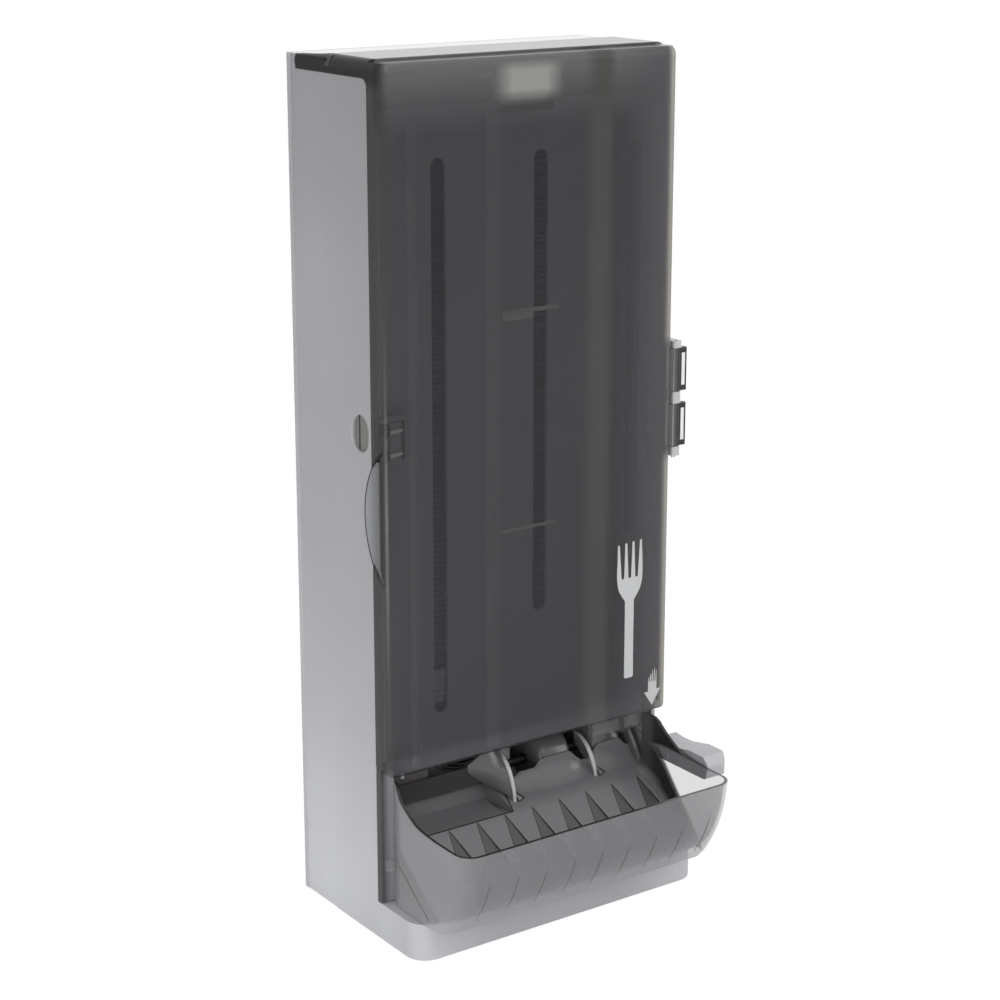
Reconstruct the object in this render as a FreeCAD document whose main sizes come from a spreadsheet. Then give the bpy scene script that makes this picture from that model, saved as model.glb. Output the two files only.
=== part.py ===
import FreeCAD, Part
import math
import os
import Sketcher

# Cutlery dispenser. Millimetres. The origin is on the floor, under the middle of the plinth.
# X runs to the right, Y to the back, Z up. A "depth" is measured forward from the back face,
# and each finished piece is moved back by half the plinth's depth.

doc = FreeCAD.newDocument("CutleryDispenser")
sheet = doc.addObject("Spreadsheet::Sheet", "Sizes")

SIZES = [
    # whole object
    ("height", 628.65), ("width", 254.0), ("gap", 0.3), ("seat", 0.2), ("running", 0.05),
    ("overrun", 2.0), ("shell_wall", 3.0), ("hood_tall", 12.65), ("tower_drop", 2.15),
    # plinth
    ("plinth_top", 28.0), ("plinth_depth", 157.0), ("plinth_corner", 16.0), ("plinth_lift", 0.3),
    ("base_thick", 3.0),
    # housing walls
    ("wall_depth", 103.0), ("tower_depth", 49.0), ("tower_cap", 4.0), ("tower_skirt", 3.0),
    ("tower_skirt_drop", 24.0), ("lip_reach", 4.5), ("lip_deep", 5.0), ("lip_thick", 3.0),
    ("step_depth", 46.0), ("step_in", 0.5),
    ("rib_wide", 10.0), ("rib_thick", 3.0), ("post_side", 10.0), ("post_long", 12.0),
    # back plate
    ("back_thick", 5.0), ("mount_across", 152.4), ("mount_low", 130.0), ("mount_drop", 56.0),
    ("mount_radius", 3.0), ("access_radius", 8.0), ("post_low", 60.0), ("post_drop", 26.0),
    # key slot and finger scoop
    ("key_set", 14.5), ("key_height", 373.0), ("key_radius", 10.5), ("key_straight", 5.0),
    ("key_bevel", 0.9), ("scoop_reach", 56.0), ("scoop_height", 317.0), ("scoop_radius", 66.0),
    ("scoop_in", 1.5),
    # cover
    ("cover_reach", 15.5), ("cover_low", 127.0), ("cover_wall", 2.5), ("cover_round", 8.0),
    ("cover_corner", 7.0), ("band_back", 11.0), ("band_round", 4.5), ("band_fillet", 6.0),
    ("grip_reach", 11.8), ("grip_deep", 6.0),
    # hinge
    ("hinge_out", 6.0), ("hinge_reach", 9.0), ("pin_radius", 1.6), ("pin_low", 321.5), ("pin_high", 410.0),
    ("barrel_radius", 3.6), ("loop_low", 330.5), ("loop_tall", 32.6), ("loop_step", 42.0),
    ("loop_out", 15.4), ("loop_thick", 4.0), ("loop_frame", 1.4), ("loop_bar", 10.8), ("loop_edge", 4.0),
    ("bracket_low", 323.0), ("bracket_high", 421.0), ("bracket_thick", 2.4), ("bracket_wide", 6.4),
    ("bracket_set", 1.0), ("bracket_long", 40.0), ("knuckle_end", 7.0),
    # magazine
    ("panel_set", 8.0), ("panel_thick", 2.5), ("panel_half", 119.0), ("panel_low", 118.3),
    ("panel_drop", 22.0), ("slot_wide", 12.0), ("slot_drop", 41.0), ("slot_left", 67.0),
    ("slot_mid", 20.0), ("slot_right", 104.0), ("slot_left_low", 164.0), ("slot_mid_low", 225.0),
    ("slot_right_low", 270.0), ("notch_left", 16.0), ("notch_right", 32.0), ("notch_deep", 8.0),
    ("magazine_deep", 43.0), ("magazine_drop", 5.0), ("magazine_foot", 56.0),
    ("guide_thick", 2.5), ("guide_left", 98.0), ("guide_right", 78.0), ("guide_drop", 16.0),
    # forks
    ("fork_tip", 95.0), ("fork_end", 75.0), ("fork_set", 20.0), ("fork_head", 26.0),
    ("fork_head_long", 46.0), ("fork_shoulder", 14.0), ("fork_neck", 8.0), ("fork_tail", 14.0),
    ("fork_tine", 34.0), ("fork_slit", 2.8), ("fork_slit_step", 6.8), ("fork_sheet", 1.4),
    ("stack_drop", 10.7), ("core_wide", 5.0), ("core_inset", 8.0),
    # shaft, drums and lever
    ("shaft_reach", 18.0), ("shaft_height", 91.0), ("shaft_radius", 4.0), ("shaft_left", 122.0),
    ("drum_radius", 21.8), ("drum_step", 3.0), ("drum_step_long", 9.0), ("drum_left_start", 26.0),
    ("drum_left_end", 57.0), ("drum_right_start", 75.0), ("drum_right_end", 105.0),
    ("arm_inside", 121.6), ("arm_thick", 2.0), ("hub_radius", 8.0), ("hub_start", 119.0),
    ("pad_inside", 122.5), ("pad_outside", 143.0), ("pad_back", 110.0), ("pad_front", 173.0),
    ("pad_low", 84.0), ("pad_top", 98.5), ("pad_dip", 97.5), ("pad_crest", 101.5), ("pad_round", 6.0),
    ("pad_crest_back", 150.0), ("pad_crest_front", 167.0), ("pad_dip_back", 118.0),
    ("pad_dip_front", 130.0), ("arm_front", 126.0), ("pad_nose", 8.0),
    ("bush_radius", 7.0), ("bush_flange", 9.0), ("bush_flange_thick", 1.5), ("clip_radius", 6.5),
    ("clip_thick", 1.0), ("spring_inner", 5.0), ("spring_outer", 7.0), ("spring_start", 106.0),
    # drop tray
    ("ramp_depth", 101.0), ("ramp_height", 79.0), ("tray_front", 111.3), ("tray_back", 92.5),
    ("tray_half", 112.0), ("tray_thick", 2.5), ("cheek_thick", 3.0), ("cheek_front", 103.5),
    ("cheek_low", 62.0), ("cheek_top", 105.0), ("cheek_nose", 6.0), ("ledge_set", 8.0),
    ("tub_left", 96.0), ("tub_right_front", 12.0),
    ("tub_right_back", 21.0), ("tub_back", 85.6), ("tub_floor", 71.2), ("tub_floor_back", 76.0),
    # rails, fins and bar
    ("rail_left_out", 103.0), ("rail_left_in", 73.0), ("rail_set", 7.0), ("rail_top", 113.0),
    ("rail_low", 99.0), ("rail_thick", 2.5), ("rail_right_in", 107.0), ("rail_right_out", 119.0),
    ("rail_right_low", 106.0), ("rail_right_top", 118.0), ("rail_right_set", 1.8),
    ("bar_in", 70.0), ("bar_set", 1.5), ("bar_thick", 3.0),
    ("fin_thick", 2.5), ("fin_left", 7.0), ("fin_right", 70.0),
    ("fin_left_tall", 16.5), ("fin_left_back", 84.0), ("fin_left_foot", 105.4),
    ("fin_right_tall", 8.0), ("fin_right_back", 76.5), ("fin_right_foot", 103.4),
    # bin
    ("bin_half", 121.0), ("bin_wall", 2.5), ("bin_front", 207.0), ("bin_rear", 104.3),
    ("bin_rear_half", 116.0), ("bin_turn", 124.0), ("bin_rim_front", 96.0), ("bin_rim_rear", 120.0),
    ("bin_toe", 178.0), ("bin_floor_thick", 3.0), ("bin_corner", 14.0), ("rib_start", 111.6),
    ("groove_pitch", 24.9), ("groove_first", 95.6), ("groove_wide", 12.0), ("groove_deep", 1.2),
    ("groove_back", 110.0), ("groove_front", 164.0), ("bin_skirt_front", 166.0),
    ("clip_low", 54.0), ("clip_high", 62.0), ("clip_front", 112.5), ("clip_back", 107.8),
    ("clip_in", 118.3),
    # latch
    ("latch_mid", 370.0), ("latch_half", 13.7), ("latch_set", 5.3), ("latch_lip_thick", 3.0),
    ("latch_lip_out", 117.7), ("latch_in", 109.0), ("latch_body_out", 117.4), ("latch_deep", 4.5),
    ("latch_link_reach", 1.0), ("latch_tail_out", 121.0), ("latch_tail_thick", 2.0),
    ("latch_tail_deep", 23.0), ("latch_tail_half", 11.0), ("latch_tail_round", 2.0), ("latch_travel", 4.0),
    ("latch_bore", 3.3), ("latch_bore_deep", 5.5), ("latch_bore_reach", 0.5),
    ("arm_sheet", 3.0), ("arm_end_in", 102.0), ("arm_end_thick", 2.0), ("arm_gap", 0.3),
    ("striker_nose", 2.1), ("striker_out", 123.5), ("striker_thick", 1.8),
    ("striker_in", 118.0), ("striker_half", 3.0), ("striker_step", 9.0), ("coil_outer", 3.1),
    ("coil_inner", 2.2), ("coil_end", 110.3),
    # fasteners
    ("screw_radius", 1.75), ("screw_head", 3.5), ("screw_head_thick", 2.0), ("screw_long", 10.0),
    ("screw_short", 8.0), ("chassis_low", 150.0), ("chassis_drop", 36.0), ("base_screw_side", 100.0),
    ("base_screw_front", 138.0), ("base_screw_back", 22.0),
]

# Shares of the sizes above, and counts.
ramp_share = 0.735
nose_share = 0.29
bend_share = 0.6
face_wall_share = 1.15
face_drop_share = 0.25
rim_wall_share = 1.1
pack_count = 3
fork_count = 40
groove_count = 9


class Size:
    """A length with its value and the expression that ties it to the sheet."""

    def __init__(self, value, text):
        self.value = float(value)
        self.text = text

    def __add__(self, other):
        other = as_size(other)
        return Size(self.value + other.value, "(%s + %s)" % (self.text, other.text))

    def __radd__(self, other):
        return as_size(other) + self

    def __sub__(self, other):
        other = as_size(other)
        return Size(self.value - other.value, "(%s - %s)" % (self.text, other.text))

    def __rsub__(self, other):
        return as_size(other) - self

    def __mul__(self, other):
        other = as_size(other)
        return Size(self.value * other.value, "(%s * %s)" % (self.text, other.text))

    def __rmul__(self, other):
        return as_size(other) * self

    def __truediv__(self, other):
        other = as_size(other)
        return Size(self.value / other.value, "(%s / %s)" % (self.text, other.text))

    def __neg__(self):
        return Size(-self.value, "(0 - %s)" % self.text)


def as_size(item):
    if isinstance(item, Size):
        return item
    return Size(item, repr(float(item)))


class Named:
    pass


g = Named()
for row, (word, number) in enumerate(SIZES, 1):
    cell = "A%d" % row
    sheet.set(cell, str(number))
    sheet.setAlias(cell, word)
    setattr(g, word, Size(number, "Sizes." + word))
doc.recompute()

# Heights that follow from the top.
g.wall_top = g.height - g.hood_tall
g.tower_top = g.height - g.tower_drop
g.band_low = g.wall_top + g.gap
g.band_top = g.tower_top - g.gap
g.mount_high = g.wall_top - g.mount_drop
g.post_high = g.wall_top - g.post_drop
g.post_mid = (g.post_low + g.post_high) / 2
g.chassis_high = g.wall_top - g.chassis_drop
g.magazine_top = g.wall_top - g.magazine_drop
g.guide_top = g.wall_top - g.guide_drop
g.panel_top = g.wall_top - g.panel_drop
g.slot_top = g.panel_top - g.slot_drop
g.stack_low = g.rail_top + g.gap
g.fork_pitch = (g.wall_top - g.stack_drop - g.stack_low) / (fork_count * pack_count)

# Depths that follow from the front edge of the walls.
g.cover_front = g.wall_depth + g.cover_reach
g.lip_depth = g.wall_depth + g.lip_reach
g.lip_back = g.wall_depth - g.lip_deep
g.key_depth = g.wall_depth - g.key_set
g.scoop_depth = g.wall_depth + g.scoop_reach
g.grip_depth = g.wall_depth + g.grip_reach
g.hinge_depth = g.wall_depth + g.hinge_reach
g.bracket_front = g.wall_depth - g.bracket_set
g.bracket_back = g.bracket_front - g.bracket_long
g.panel_depth = g.wall_depth - g.panel_set
g.magazine_back_depth = g.panel_depth - g.magazine_deep
g.fork_depth = g.panel_depth - g.fork_set
g.rail_depth = g.panel_depth - g.rail_set
g.rail_right_depth = g.panel_depth - g.rail_right_set
g.bar_depth = g.panel_depth - g.bar_set
g.shaft_depth = g.magazine_back_depth + g.shaft_reach
g.latch_lip_front = g.cover_front - g.latch_set
g.latch_lip_back = g.latch_lip_front - g.latch_lip_thick
g.latch_back = g.wall_depth - g.latch_deep
g.latch_link = g.wall_depth + g.latch_link_reach
g.latch_tail_back = g.wall_depth - g.latch_tail_deep
g.latch_bore_depth = g.wall_depth + g.latch_bore_reach
g.striker_back = g.latch_lip_back - g.gap - g.striker_nose

PIECES = []


def bind(item, prop, size):
    size = as_size(size)
    item.setExpression(prop, size.text)


def body(name):
    made = doc.addObject("PartDesign::Body", name + "_body")
    made.Label = name + " body"
    if hasattr(made, "AllowCompound"):
        made.AllowCompound = True
    return made


def keep(item, name):
    item.Label = name
    bind(item, "Placement.Base.y", g.plinth_depth / 2)
    PIECES.append((name, item))
    return item


def sketch(owner, plane, at):
    """An empty sketch on one of the body's origin planes, moved along its normal by at."""
    made = owner.newObject("Sketcher::SketchObject", "outline")
    made.AttachmentSupport = [(item, "") for item in owner.Origin.OriginFeatures if item.Role == plane]
    made.MapMode = "FlatFace"
    bind(made, "AttachmentOffset.Base.z", at)
    return made


def fix_point(drawing, index, end, u, v):
    number = drawing.addConstraint(Sketcher.Constraint("DistanceX", -1, 1, index, end, u.value))
    drawing.setExpression("Constraints[%d]" % number, u.text)
    number = drawing.addConstraint(Sketcher.Constraint("DistanceY", -1, 1, index, end, v.value))
    drawing.setExpression("Constraints[%d]" % number, v.text)


def circle(drawing, u, v, radius):
    u, v, radius = as_size(u), as_size(v), as_size(radius)
    middle = FreeCAD.Vector(u.value, v.value, 0)
    index = drawing.addGeometry(Part.Circle(middle, FreeCAD.Vector(0, 0, 1), radius.value), False)
    fix_point(drawing, index, 3, u, v)
    number = drawing.addConstraint(Sketcher.Constraint("Radius", index, radius.value))
    drawing.setExpression("Constraints[%d]" % number, radius.text)


def stadium(drawing, u, low, high, radius):
    """An upright slot whose end centres are at low and high."""
    u, low, high, radius = as_size(u), as_size(low), as_size(high), as_size(radius)
    up = FreeCAD.Vector(0, 0, 1)
    top = Part.ArcOfCircle(Part.Circle(FreeCAD.Vector(u.value, high.value, 0), up, radius.value), 0, math.pi)
    foot = Part.ArcOfCircle(
        Part.Circle(FreeCAD.Vector(u.value, low.value, 0), up, radius.value), math.pi, 2 * math.pi
    )
    left = u.value - radius.value
    right = u.value + radius.value
    a = drawing.addGeometry(top, False)
    b = drawing.addGeometry(
        Part.LineSegment(FreeCAD.Vector(left, high.value, 0), FreeCAD.Vector(left, low.value, 0)), False
    )
    c = drawing.addGeometry(foot, False)
    d = drawing.addGeometry(
        Part.LineSegment(FreeCAD.Vector(right, low.value, 0), FreeCAD.Vector(right, high.value, 0)), False
    )
    for first, first_end, second, second_end in ((a, 2, b, 1), (b, 2, c, 1), (c, 2, d, 1), (d, 2, a, 1)):
        drawing.addConstraint(Sketcher.Constraint("Tangent", first, first_end, second, second_end))
    drawing.addConstraint(Sketcher.Constraint("Equal", a, c))
    fix_point(drawing, a, 3, u, high)
    fix_point(drawing, c, 3, u, low)
    number = drawing.addConstraint(Sketcher.Constraint("Radius", a, radius.value))
    drawing.setExpression("Constraints[%d]" % number, radius.text)


def outline(drawing, points):
    """A closed outline of straight sides. A point is (u, v), or (u, v, radius) for a rounded corner."""
    spots = [tuple(as_size(item) for item in point) for point in points]
    count = len(spots)
    vectors = [FreeCAD.Vector(spot[0].value, spot[1].value, 0) for spot in spots]
    starts = []
    ends = []
    for k, spot in enumerate(spots):
        here = vectors[k]
        if len(spot) == 2:
            starts.append(here)
            ends.append(here)
            continue
        back = (vectors[k - 1] - here).normalize()
        ahead = (vectors[(k + 1) % count] - here).normalize()
        half = back.getAngle(ahead) / 2
        reach = spot[2].value / math.tan(half)
        ends.append(here + back * reach)
        starts.append(here + ahead * reach)
    lines = []
    for k in range(count):
        side = Part.LineSegment(starts[k], ends[(k + 1) % count])
        lines.append(drawing.addGeometry(side, False))
    for k, spot in enumerate(spots):
        before = lines[k - 1]
        after = lines[k]
        if len(spot) == 2:
            drawing.addConstraint(Sketcher.Constraint("Coincident", before, 2, after, 1))
            fix_point(drawing, after, 1, spot[0], spot[1])
            continue
        here = vectors[k]
        middle = (starts[k] + ends[k]) * 0.5
        away = (middle - here).normalize()
        back = (vectors[k - 1] - here).normalize()
        ahead = (vectors[(k + 1) % count] - here).normalize()
        half = back.getAngle(ahead) / 2
        centre = here + away * (spot[2].value / math.sin(half))
        ring = Part.Circle(centre, FreeCAD.Vector(0, 0, 1), spot[2].value)
        first = math.atan2(ends[k].y - centre.y, ends[k].x - centre.x)
        last = math.atan2(starts[k].y - centre.y, starts[k].x - centre.x)
        left_turn = (here - ends[k]).cross(starts[k] - here).z > 0
        if left_turn:
            arc = drawing.addGeometry(Part.ArcOfCircle(ring, first, last), False)
            near, far = 1, 2
        else:
            arc = drawing.addGeometry(Part.ArcOfCircle(ring, last, first), False)
            near, far = 2, 1
        drawing.addConstraint(Sketcher.Constraint("Tangent", before, 2, arc, near))
        drawing.addConstraint(Sketcher.Constraint("Tangent", arc, far, after, 1))
        number = drawing.addConstraint(Sketcher.Constraint("Radius", arc, spot[2].value))
        drawing.setExpression("Constraints[%d]" % number, spot[2].text)
        corner = drawing.addGeometry(Part.Point(here), True)
        drawing.addConstraint(Sketcher.Constraint("PointOnObject", corner, 1, before))
        drawing.addConstraint(Sketcher.Constraint("PointOnObject", corner, 1, after))
        fix_point(drawing, corner, 1, spot[0], spot[1])


def rectangle(drawing, left, low, right, high, radius=None):
    corners = [(left, low), (right, low), (right, high), (left, high)]
    if radius is not None:
        corners = [(u, v, radius) for u, v in corners]
    outline(drawing, corners)


def pad(owner, drawing, length, back=False):
    made = owner.newObject("PartDesign::Pad", "pad")
    made.Profile = drawing
    bind(made, "Length", length)
    made.Reversed = back
    drawing.Visibility = False
    return made


def pocket(owner, drawing, length, back=False):
    made = owner.newObject("PartDesign::Pocket", "pocket")
    made.Profile = drawing
    bind(made, "Length", length)
    made.Reversed = back
    return made


def fillet(owner, radius, wanted, kind="PartDesign::Fillet"):
    """Rounds or bevels the edges of the body's tip for which wanted(edge) holds."""
    doc.recompute()
    base = owner.Tip
    names = []
    for number, edge in enumerate(base.Shape.Edges, 1):
        if wanted(edge):
            names.append("Edge%d" % number)
    if not names:
        raise ValueError("no edge to round in " + owner.Label)
    made = owner.newObject(kind, "round")
    made.Base = (base, names)
    bind(made, "Radius" if kind.endswith("Fillet") else "Size", radius)
    owner.Tip = made
    doc.recompute()
    return made


def slab(name, plane, at, thick, *loops, holes=()):
    """A body that is one outline padded along its plane's normal."""
    owner = body(name)
    drawing = sketch(owner, plane, at)
    for points in loops:
        outline(drawing, points)
    for u, v, radius in holes:
        circle(drawing, u, v, radius)
    pad(owner, drawing, thick)
    return owner


def box_body(name, x0, x1, y0, y1, z0, z1):
    """A plain block between two corners."""
    return slab(name, "XY_Plane", z0, as_size(z1) - z0, [(x0, y0), (x1, y0), (x1, y1), (x0, y1)])


def join(name, items, kind="Part::MultiFuse"):
    made = doc.addObject(kind, name + "_joined")
    made.Shapes = items
    return made


def cut(name, base, tool):
    made = doc.addObject("Part::Cut", name + "_cut")
    made.Base = base
    made.Tool = tool
    return made


def common(name, items):
    made = doc.addObject("Part::MultiCommon", name + "_common")
    made.Shapes = items
    return made


def along(edge, axis, tolerance=1e-4):
    """True when a straight edge runs along the axis with this number."""
    if len(edge.Vertexes) != 2 or edge.Curve.TypeId != "Part::GeomLine":
        return False
    run = edge.Vertexes[1].Point - edge.Vertexes[0].Point
    parts = (abs(run.x), abs(run.y), abs(run.z))
    return parts[axis] > tolerance and sum(parts) - parts[axis] < tolerance


def near(a, b, tolerance=0.01):
    return abs(a - as_size(b).value) < tolerance


# Places shared by several pieces.
half = g.width / 2
inner = half - g.shell_wall
ramp_share_size = Size(ramp_share, repr(ramp_share))


def ramp(depth):
    """Height of the sloping floor at a depth."""
    return g.ramp_height - (depth - g.ramp_depth) * ramp_share_size


hinge_x = half + g.hinge_out
back_screw_x = inner - g.post_side / 2
chassis_x = inner - g.rib_wide / 2


def make_housing():
    shell = body("housing_shell")
    drawing = sketch(shell, "XY_Plane", g.plinth_lift)
    outline(drawing, [
        (-half, -g.back_thick),
        (-half, -g.plinth_depth, g.plinth_corner),
        (half, -g.plinth_depth, g.plinth_corner),
        (half, -g.back_thick),
    ])
    pad(shell, drawing, g.plinth_top - g.plinth_lift)
    drawing = sketch(shell, "XY_Plane", g.plinth_lift - g.overrun)
    outline(drawing, [
        (-inner, -g.back_thick - g.shell_wall),
        (-inner, -g.plinth_depth + g.shell_wall, g.plinth_corner - g.shell_wall),
        (inner, -g.plinth_depth + g.shell_wall, g.plinth_corner - g.shell_wall),
        (inner, -g.back_thick - g.shell_wall),
    ])
    pocket(shell, drawing, g.plinth_top - g.plinth_lift - g.shell_wall + g.overrun, back=True)
    wall_low = g.plinth_top - g.shell_wall / 2
    for start in (-half, inner):
        drawing = sketch(shell, "YZ_Plane", start)
        outline(drawing, [
            (-g.back_thick, wall_low),
            (-g.wall_depth, wall_low),
            (-g.wall_depth, g.wall_top, g.band_fillet - g.gap),
            (-g.tower_depth, g.wall_top),
            (-g.tower_depth, g.tower_top),
            (-g.back_thick, g.tower_top),
        ])
        pad(shell, drawing, g.shell_wall)
    # cap of the closed tower behind the cover, with its two skirts
    cap_half = inner + g.shell_wall / 2
    drawing = sketch(shell, "XY_Plane", g.tower_top - g.tower_cap)
    rectangle(drawing, -cap_half, -g.tower_depth, cap_half, -g.back_thick)
    pad(shell, drawing, g.tower_cap)
    drawing = sketch(shell, "XY_Plane", g.tower_top - g.tower_skirt_drop)
    for side in (-1, 1):
        rectangle(drawing, inner * side, -g.tower_depth, (inner - g.tower_skirt) * side, -g.back_thick)
    pad(shell, drawing, g.tower_skirt_drop)
    # recess for the cover's side band on the left
    drawing = sketch(shell, "YZ_Plane", -half - g.overrun)
    rectangle(
        drawing, -g.tower_depth - g.overrun, g.band_low - g.gap,
        -g.band_back + g.gap, g.tower_top + g.overrun,
    )
    pocket(shell, drawing, g.overrun + g.cover_wall + g.gap, back=True)
    # front lip on the left, notched for the latch
    drawing = sketch(shell, "YZ_Plane", -inner)
    rectangle(drawing, -g.lip_depth, wall_low, -g.lip_back, g.wall_top - g.lip_thick)
    pad(shell, drawing, g.lip_thick)
    reach = g.latch_half + g.arm_gap + g.arm_sheet + g.gap
    drawing = sketch(shell, "YZ_Plane", -inner)
    rectangle(
        drawing, -g.lip_depth - g.overrun, g.latch_mid - reach,
        -g.lip_back + g.overrun, g.latch_mid + reach,
    )
    pocket(shell, drawing, g.lip_thick + g.overrun, back=True)
    # ribs that the magazine is screwed to, and posts for the back plate
    drawing = sketch(shell, "XY_Plane", wall_low)
    rib_front = g.magazine_back_depth - g.guide_thick - g.seat
    for side in (-1, 1):
        rectangle(
            drawing, inner * side, -rib_front, (inner - g.rib_wide) * side, -rib_front + g.rib_thick
        )
    pad(shell, drawing, g.magazine_top - wall_low)
    drawing = sketch(shell, "XZ_Plane", g.back_thick)
    for side in (-1, 1):
        for level in (g.post_low, g.post_mid, g.post_high):
            rectangle(
                drawing, inner * side, level - g.post_side / 2,
                (inner - g.post_side) * side, level + g.post_side / 2,
            )
    pad(shell, drawing, g.post_long)
    drawing = sketch(shell, "XZ_Plane", g.back_thick)
    for side in (-1, 1):
        for level in (g.post_low, g.post_mid, g.post_high):
            circle(drawing, back_screw_x * side, level, g.screw_radius + g.running)
    pocket(shell, drawing, g.post_long - g.overrun, back=True)
    drawing = sketch(shell, "XZ_Plane", rib_front - g.rib_thick - g.overrun)
    for side in (-1, 1):
        for level in (g.chassis_low, g.post_mid, g.chassis_high):
            circle(drawing, chassis_x * side, level, g.screw_radius + g.running)
    pocket(shell, drawing, g.rib_thick + g.overrun * 2, back=True)
    # shallow step on both outer faces
    for side, back in ((-1, True), (1, False)):
        drawing = sketch(shell, "YZ_Plane", (half - g.step_in) * side)
        rectangle(
            drawing, -g.step_depth, g.plinth_lift - g.overrun, -g.back_thick + g.overrun,
            g.tower_top + g.overrun,
        )
        pocket(shell, drawing, g.step_in + g.overrun, back=not back)
    # finger scoop and key slot in the left wall
    drawing = sketch(shell, "YZ_Plane", -half - g.overrun)
    circle(drawing, -g.scoop_depth, g.scoop_height, g.scoop_radius)
    pocket(shell, drawing, g.scoop_in + g.overrun, back=True)
    drawing = sketch(shell, "YZ_Plane", -half - g.overrun)
    stadium(
        drawing, -g.key_depth, g.key_height - g.key_straight / 2,
        g.key_height + g.key_straight / 2, g.key_radius,
    )
    pocket(shell, drawing, g.shell_wall + g.overrun * 2, back=True)

    def slot_rim(edge):
        box = edge.BoundBox
        outside = near(box.XMin, -half) and near(box.XMax, -half)
        reach = g.key_radius + g.gap
        rise = g.key_straight / 2 + reach
        deep = box.YMin > -(g.key_depth + reach).value and box.YMax < -(g.key_depth - reach).value
        level = box.ZMin > (g.key_height - rise).value and box.ZMax < (g.key_height + rise).value
        return outside and deep and level

    fillet(shell, g.key_bevel, slot_rim, "PartDesign::Chamfer")
    # holes for the bracket screws in the right wall
    drawing = sketch(shell, "YZ_Plane", inner - g.overrun)
    for depth, level in bracket_places():
        circle(drawing, -depth, level, g.screw_radius + g.running)
    pocket(shell, drawing, g.shell_wall + g.overrun * 2, back=True)
    keep(shell, "housing_shell")


def bracket_places():
    mid = (g.bracket_front + g.bracket_back) / 2
    reach = (g.bracket_front - g.bracket_back) / 4
    rise = (g.bracket_high - g.bracket_low) / 3
    centre = (g.bracket_high + g.bracket_low) / 2
    places = []
    for side in (-1, 1):
        for level in (-1, 1):
            places.append((mid + reach * side, centre + rise * level))
    return places


def make_back_plate():
    plate = body("back_plate")
    drawing = sketch(plate, "XZ_Plane", 0)
    rectangle(drawing, -half, g.plinth_lift, half, g.tower_top)
    for side in (-1, 1):
        for level in (g.mount_low, g.mount_high):
            circle(drawing, g.mount_across / 2 * side, level, g.mount_radius)
        for level in (g.post_low, g.post_mid, g.post_high):
            circle(drawing, back_screw_x * side, level, g.screw_radius + g.running)
    pad(plate, drawing, g.back_thick)
    drawing = sketch(plate, "XZ_Plane", 0)
    for side in (-1, 1):
        for level in (g.post_low, g.post_mid, g.post_high):
            circle(drawing, back_screw_x * side, level, g.screw_head + g.gap)
    pocket(plate, drawing, g.screw_head_thick + g.gap, back=True)
    keep(plate, "back_plate")


def make_base_plate():
    plate = body("base_plate")
    drawing = sketch(plate, "XY_Plane", 0)
    side = inner - g.seat
    corner = g.plinth_corner - g.shell_wall - g.seat
    outline(drawing, [
        (-side, -g.back_thick - g.shell_wall - g.seat),
        (-side, -g.plinth_depth + g.shell_wall + g.seat, corner),
        (side, -g.plinth_depth + g.shell_wall + g.seat, corner),
        (side, -g.back_thick - g.shell_wall - g.seat),
    ])
    pad(plate, drawing, g.base_thick)
    drawing = sketch(plate, "XY_Plane", g.base_thick)
    for x, depth in base_places():
        circle(drawing, x, -depth, g.screw_head)
    pad(plate, drawing, g.plinth_top - g.shell_wall - g.base_thick - g.seat)
    drawing = sketch(plate, "XY_Plane", 0)
    for x, depth in base_places():
        circle(drawing, x, -depth, g.screw_radius + g.running)
    pocket(plate, drawing, g.plinth_top, back=True)
    keep(plate, "base_plate")


def base_places():
    return [
        (g.base_screw_side * side, depth)
        for side in (-1, 1)
        for depth in (g.base_screw_back, g.base_screw_front)
    ]


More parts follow.
